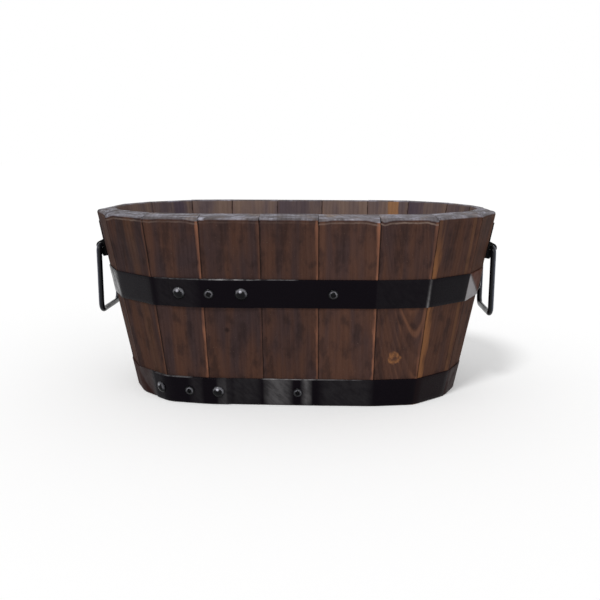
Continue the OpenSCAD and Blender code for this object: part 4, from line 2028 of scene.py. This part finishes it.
@dataclass
class BailHandle:
    """A swinging rod handle in an eared bracket, on one end of the tub."""

    plan: TubPlan
    fasteners: Fasteners
    rod_finish: BlackSteel
    bracket_finish: BlackSteel
    bright: BlackSteel
    side: str
    rod_d: float = 6 * MM
    drop: float = 72.5 * MM
    pivot_z: float = 159.2 * MM
    pivot_out: float = 5.8 * MM
    pivot_bend_r: float = 6 * MM
    grip_bend_r: float = 9 * MM
    sheet_t: float = 1.6 * MM
    bracket_w: float = 54 * MM
    bracket_up: float = 27 * MM
    bracket_down: float = 12.5 * MM
    ear_rim: float = 1.8 * MM
    ear_cuts: int = 9
    cut_share: float = 0.995
    screw_pitch: float = 28 * MM
    screw_edge: float = 2 * MM
    pivot_play: float = 0.1 * MM
    ear_play: float = 0.5 * MM

    @cached_property
    def stave(self) -> int:
        """The end stave that carries the handle."""
        return self.plan.left_end if self.side == "left" else self.plan.right_end

    @cached_property
    def wall(self) -> Matrix:
        """The wall's frame under the pivot."""
        z = self.pivot_z + self.pivot_out * math.sin(self.plan.lean)
        return self.plan.on_wall(self.stave, 0, z)

    @cached_property
    def nose_r(self) -> float:
        """Radius of an ear's round nose."""
        return self.rod_d / 2 + self.pivot_play + self.ear_rim

    def bracket(self) -> Piece:
        """Models the plate and its two ears in the wall's frame, then puts them on the wall.

        Returns:
            The bracket.
        """
        half, thick = self.bracket_w / 2, self.sheet_t
        back = -self.plan.seat_clear
        middle = Matrix.Translation(
            (0, back - thick / 2, (self.bracket_up - self.bracket_down) / 2))
        piece = Bench.block(f"{self.side}_bracket_steel",
                            (self.bracket_w, thick, self.bracket_up + self.bracket_down), middle)
        for side in (-1, 1):
            Bench.combined(piece, self._ear(side * (half - thick / 2), back), "UNION")
        Bench.clear()
        bpy.ops.mesh.primitive_cylinder_add(
            vertices=48, radius=self.rod_d / 2 + self.pivot_play, depth=2 * self.bracket_w,
            location=(0, -self.pivot_out, 0), rotation=(0, math.radians(90), 0))
        Bench.combined(piece, Bench.named("pivot_cutter"))
        with Bench.editing(piece):
            Bench.pick(Part.EDGE, lambda at, run: abs(abs(at.x) - half) < 0.01 * MM
                       and abs(at.y - back) < 0.01 * MM and abs(run.z) > 0.9 * run.length)
            bpy.ops.mesh.bevel(offset=0.8 * thick, segments=3, profile=0.5, affect="EDGES")
        Bench.soften(piece, 0.3 * MM, 2, 35)
        piece.matrix_world = self.wall
        Bench.settle(piece)
        return piece

    def _ear(self, x: float, back: float) -> Piece:
        """Models one ear: a block cut round by planes that touch its nose, and slanted below.

        Args:
            x: Where its middle lies across the bracket.
            back: Where the bracket's back lies.

        Returns:
            The ear.
        """
        top = 1.4 * self.nose_r
        spare = 1 * MM
        size = (self.sheet_t, self.pivot_out + self.nose_r + back + spare,
                top + spare + self.bracket_down)
        ear = Bench.block("ear", size, Matrix.Translation(
            (x, back - size[1] / 2, (top + spare - self.bracket_down) / 2)))
        nose = Vector((0, -self.pivot_out, 0))
        touches = []
        for side, corner in ((1, Vector((0, -0.9 * self.pivot_out, -self.bracket_down))),
                             (-1, Vector((0, back, top)))):
            away = corner - nose
            touches.append(math.atan2(away.z, -away.y)
                           + side * math.acos(self.nose_r / away.length))
        with Bench.editing(ear):
            for step in range(self.ear_cuts + 1):
                turn = touches[0] + (touches[1] - touches[0]) * step / self.ear_cuts
                out = Vector((0, -math.cos(turn), math.sin(turn)))
                Bench.cut(nose + self.cut_share * self.nose_r * out, out)
        Bench.outwards(ear)
        return ear

    def screws(self) -> Piece:
        """Models the bracket's two screws.

        Returns:
            The screws, as one piece.
        """
        up = self.bracket_up - self.fasteners.screw_d / 2 - self.screw_edge
        places = [self.wall @ Matrix.Translation(
            (side * self.screw_pitch / 2, -self.plan.seat_clear - self.sheet_t, up))
            @ Matrix.Rotation(math.radians(90), 4, "X") for side in (-1, 1)]
        # Each bracket screw gets a painted highlight of its own brightness
        return self.fasteners.placed(self.fasteners.screw, f"{self.side}_bracket_screw_heads",
                                     places, [0.4, 0.5])

    def rod(self) -> Piece:
        """Models the handle, hung plumb on its pivot.

        Returns:
            The handle.
        """
        end = -1 if self.side == "left" else 1
        pivot_x = self.plan.wall_point(
            self.plan.right_end, 0, self.wall.translation.z).x + (
                self.pivot_out * math.cos(self.plan.lean))
        piece = self._bent_rod()
        self._hammered(piece)
        self._paint_highlight(piece, end)
        piece.location = (end * pivot_x, 0, self.pivot_z)
        Bench.settle(piece)
        Bench.smooth(piece, 40)
        return piece

    def _bent_rod(self) -> Piece:
        """Draws and bends one half of the rod from a round face, then mirrors it.

        Returns:
            The rod, with its pivot at the origin.
        """
        leg_y = self.bracket_w / 2 + self.ear_play + self.pivot_bend_r
        stub_in = self.bracket_w / 2 - self.sheet_t - self.rod_d
        Bench.clear()
        bpy.ops.mesh.primitive_circle_add(
            vertices=28, radius=self.rod_d / 2, fill_type="NGON",
            location=(0, stub_in, 0), rotation=(math.radians(-90), 0, 0))
        piece = Bench.named(f"{self.side}_handle_rod")
        Bench.settle(piece)
        quarter = math.radians(90)
        with Bench.editing(piece):
            bpy.ops.mesh.select_all(action="SELECT")
            self._draw((0, leg_y - self.pivot_bend_r - stub_in, 0), 4)
            bpy.ops.mesh.spin(steps=9, angle=quarter, axis=(1, 0, 0),
                              center=(0, leg_y - self.pivot_bend_r, -self.pivot_bend_r))
            self._draw((0, 0, self.grip_bend_r + self.pivot_bend_r - self.drop), 10)
            bpy.ops.mesh.spin(steps=12, angle=quarter, axis=(1, 0, 0),
                              center=(0, leg_y - self.grip_bend_r, self.grip_bend_r - self.drop))
            self._draw((0, -(leg_y - self.grip_bend_r), 0), 6)
            bpy.ops.mesh.delete(type="FACE")
        Bench.modify(piece, "MIRROR", use_axis=(False, True, False), use_clip=False,
                     merge_threshold=0.01 * MM)
        Bench.outwards(piece)
        with Bench.editing(piece):
            Bench.pick(Part.EDGE, lambda at, run: abs(abs(at.y) - stub_in) < SAME_PLACE)
            bpy.ops.mesh.bevel(offset=0.6 * MM, segments=2, affect="EDGES")
        return piece

    def _hammered(self, piece: Piece) -> None:
        """Makes the rod slightly uneven, but for the stubs in the ears.

        Args:
            piece: The rod.
        """
        forging = bpy.data.textures.new(f"{self.side}_forging", "CLOUDS")
        forging.noise_scale = 22 * MM
        group = piece.vertex_groups.new(name="grip")
        for vert in piece.data.vertices:
            group.add([vert.index], min(1.0, max(0.0, (-vert.co.z - 12 * MM) / (30 * MM))),
                      "REPLACE")
        Bench.modify(piece, "DISPLACE", texture=forging, texture_coords="LOCAL", mid_level=0.5,
                     strength=0.35 * MM, vertex_group="grip")
        piece.vertex_groups.clear()

    def _paint_highlight(self, piece: Piece, end: int) -> None:
        """Stores where a highlight is painted on the rod: on its outer side, least at the grip.

        Args:
            piece: The rod.
            end: 1 on the right end of the tub and -1 on the left.
        """
        normals = np.array([vert.normal for vert in piece.data.vertices])
        heights = Marks.places(piece)[:, 2]
        by_height = np.clip((heights + self.drop + 4 * MM) / (14 * MM), 0.12, 1)
        # A painted highlight along the rod's outer side
        wear_and_gleam = np.clip((end * normals[:, 0] - 0.1) / 0.6, 0, 1) * by_height
        Marks.vectors(piece, "scuff_and_gleam", wear_and_gleam[:, None] * np.array([1, 0, 0]))

    @staticmethod
    def _draw(move: Triple, steps: int) -> None:
        """Draws the picked face out straight, in several steps.

        Args:
            move: The whole run.
            steps: How many steps it takes.
        """
        step = tuple(value / steps for value in move)
        for _ in range(steps):
            Bench.draw(step)

    def build(self) -> None:
        """Models and dresses the bracket, its screws and the handle."""
        Bench.hand_in(self.bracket(), "tub", "bracket_steel", self.bracket_finish.material,
                      f"{self.side}_bracket")
        Bench.hand_in(self.screws(), "tub", "fastener_steel", self.bright.material,
                      f"{self.side}_bracket_screws")
        Bench.hand_in(self.rod(), f"{self.side}_handle", "handle_steel",
                      self.rod_finish.material, f"{self.side}_handle")


@dataclass
class Studio:
    """The pale floor, the soft lights and the camera."""

    camera_at: Triple = (0.044, -0.8592, 0.2593)
    yaw: float = 2.591
    pitch: float = 10.873
    roll: float = 0.089
    focal_px: float = 760.5
    frame_px: float = 600
    sensor: float = 36
    floor_size: float = 30
    floor_grey: float = 0.82
    floor_glow: float = 0.22
    sky: float = 0.6
    key: float = 1.3
    key_spread: float = 12
    fill: float = 0.5
    fill_spread: float = 60

    def floor(self) -> None:
        """Lays a plain pale floor that keeps the tub's shadow."""
        Bench.clear()
        bpy.ops.mesh.primitive_plane_add(size=self.floor_size)
        floor = Bench.named("floor")
        material = bpy.data.materials.new("pale_floor")
        material.use_nodes = True
        material.node_tree.nodes.clear()
        net = Wiring(material.node_tree)
        matt = net.node("BsdfDiffuse")
        matt.inputs[0].default_value = (*(self.floor_grey,) * 3, 1)
        glow = net.node("Emission")
        path = net.node("LightPath")
        seen = net.math("MAXIMUM", path.outputs["Is Camera Ray"], path.outputs["Is Glossy Ray"])
        net.put(glow.inputs["Strength"], seen * self.floor_glow)
        both = net.node("AddShader")
        net.put(both.inputs[0], matt.outputs[0])
        net.put(both.inputs[1], glow.outputs[0])
        net.put(net.node("OutputMaterial").inputs[0], both.outputs[0])
        floor.data.materials.append(material)

    def world(self) -> None:
        """Sets a sky that is white to the camera and to gloss, and soft on the object."""
        world = bpy.data.worlds.new("studio")
        bpy.context.scene.world = world
        world.use_nodes = True
        world.node_tree.nodes.clear()
        net = Wiring(world.node_tree)
        path = net.node("LightPath")
        seen = net.math("MAXIMUM", path.outputs["Is Camera Ray"], net.math(
            "MAXIMUM", path.outputs["Is Glossy Ray"], path.outputs["Is Transmission Ray"]))
        sky = net.node("Background")
        net.put(sky.inputs["Strength"], seen * (1 - self.sky) + self.sky)
        sky.inputs["Color"].default_value = (1, 1, 1, 1)
        net.put(net.node("OutputWorld").inputs[0], sky.outputs[0])

    @staticmethod
    def sun(name: str, strength: float, spread: float, towards: Triple) -> None:
        """Adds a broad distant lamp.

        Args:
            name: Name of the lamp.
            strength: Its strength.
            spread: Its apparent size, in degrees.
            towards: Direction in which its light travels.
        """
        Bench.clear()
        bpy.ops.object.light_add(type="SUN")
        lamp = bpy.context.object
        lamp.name = name
        lamp.data.energy = strength
        lamp.data.angle = math.radians(spread)
        lamp.rotation_euler = Vector(towards).to_track_quat("-Z", "Y").to_euler()

    def camera(self) -> None:
        """Sets the camera at the viewing angle of the photograph."""
        Bench.clear()
        bpy.ops.object.camera_add(location=self.camera_at, rotation=(
            math.radians(90 - self.pitch), 0, math.radians(self.yaw)))
        camera = bpy.context.object
        camera.rotation_euler.rotate_axis("Z", math.radians(self.roll))
        camera.data.sensor_width = self.sensor
        camera.data.lens = self.focal_px / self.frame_px * self.sensor
        camera.data.clip_end = 100
        bpy.context.scene.camera = camera

    def build(self) -> None:
        """Sets up the whole studio."""
        self.floor()
        self.world()
        self.sun("key_light", self.key, self.key_spread, (0.35, 0.75, -1.0))
        self.sun("fill_light", self.fill, self.fill_spread, (-0.6, 0.9, -0.35))
        self.camera()
        bpy.context.scene.view_settings.view_transform = "Standard"


def main() -> None:
    """Builds the planter round its frame, and the studio round the planter."""
    logging.basicConfig(level=logging.INFO, format="%(name)s: %(message)s")
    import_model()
    plan, effects, fasteners = TubPlan(), Effects(), Fasteners()
    strap = BlackSteel(effects, "hoop_steel")
    # The rod's lighter grey is a highlight painted along its outer side
    rolled = BlackSteel(effects, "rod_steel", colour=stain(10, 10, 15),
                        painted_sheen=stain(84, 87, 101), gloss=(0.18, 0.32), specular=0.2,
                        swell_scale=60, swell=0.2 * MM)
    pressed = BlackSteel(effects, "bracket_steel", colour=stain(10, 10, 12), gloss=(0.3, 0.45),
                         swell_scale=90, swell=0.12 * MM, specular=0.08)
    bright = FastenerSteel(effects, colour=stain(9, 9, 12), gloss=(0.1, 0.22), swell_scale=200,
                           swell=0.1 * MM, specular=0.1)
    StaveRing(plan, StainedWood(effects)).build()
    Base(plan, PlainBoard(effects), PlainBoard(
        effects, "dowel_wood", pale=stain(170, 138, 100), deep=stain(140, 108, 78),
        ring_pitch=2.4 * MM)).build()
    MiddleHoop(plan, fasteners, strap, bright).build()
    BottomHoop(plan, fasteners, strap, bright).build()
    for side in ("left", "right"):
        BailHandle(plan, fasteners, rolled, pressed, bright, side).build()
    fasteners.drop_patterns()
    Studio().build()


if __name__ == "__main__":
    main()
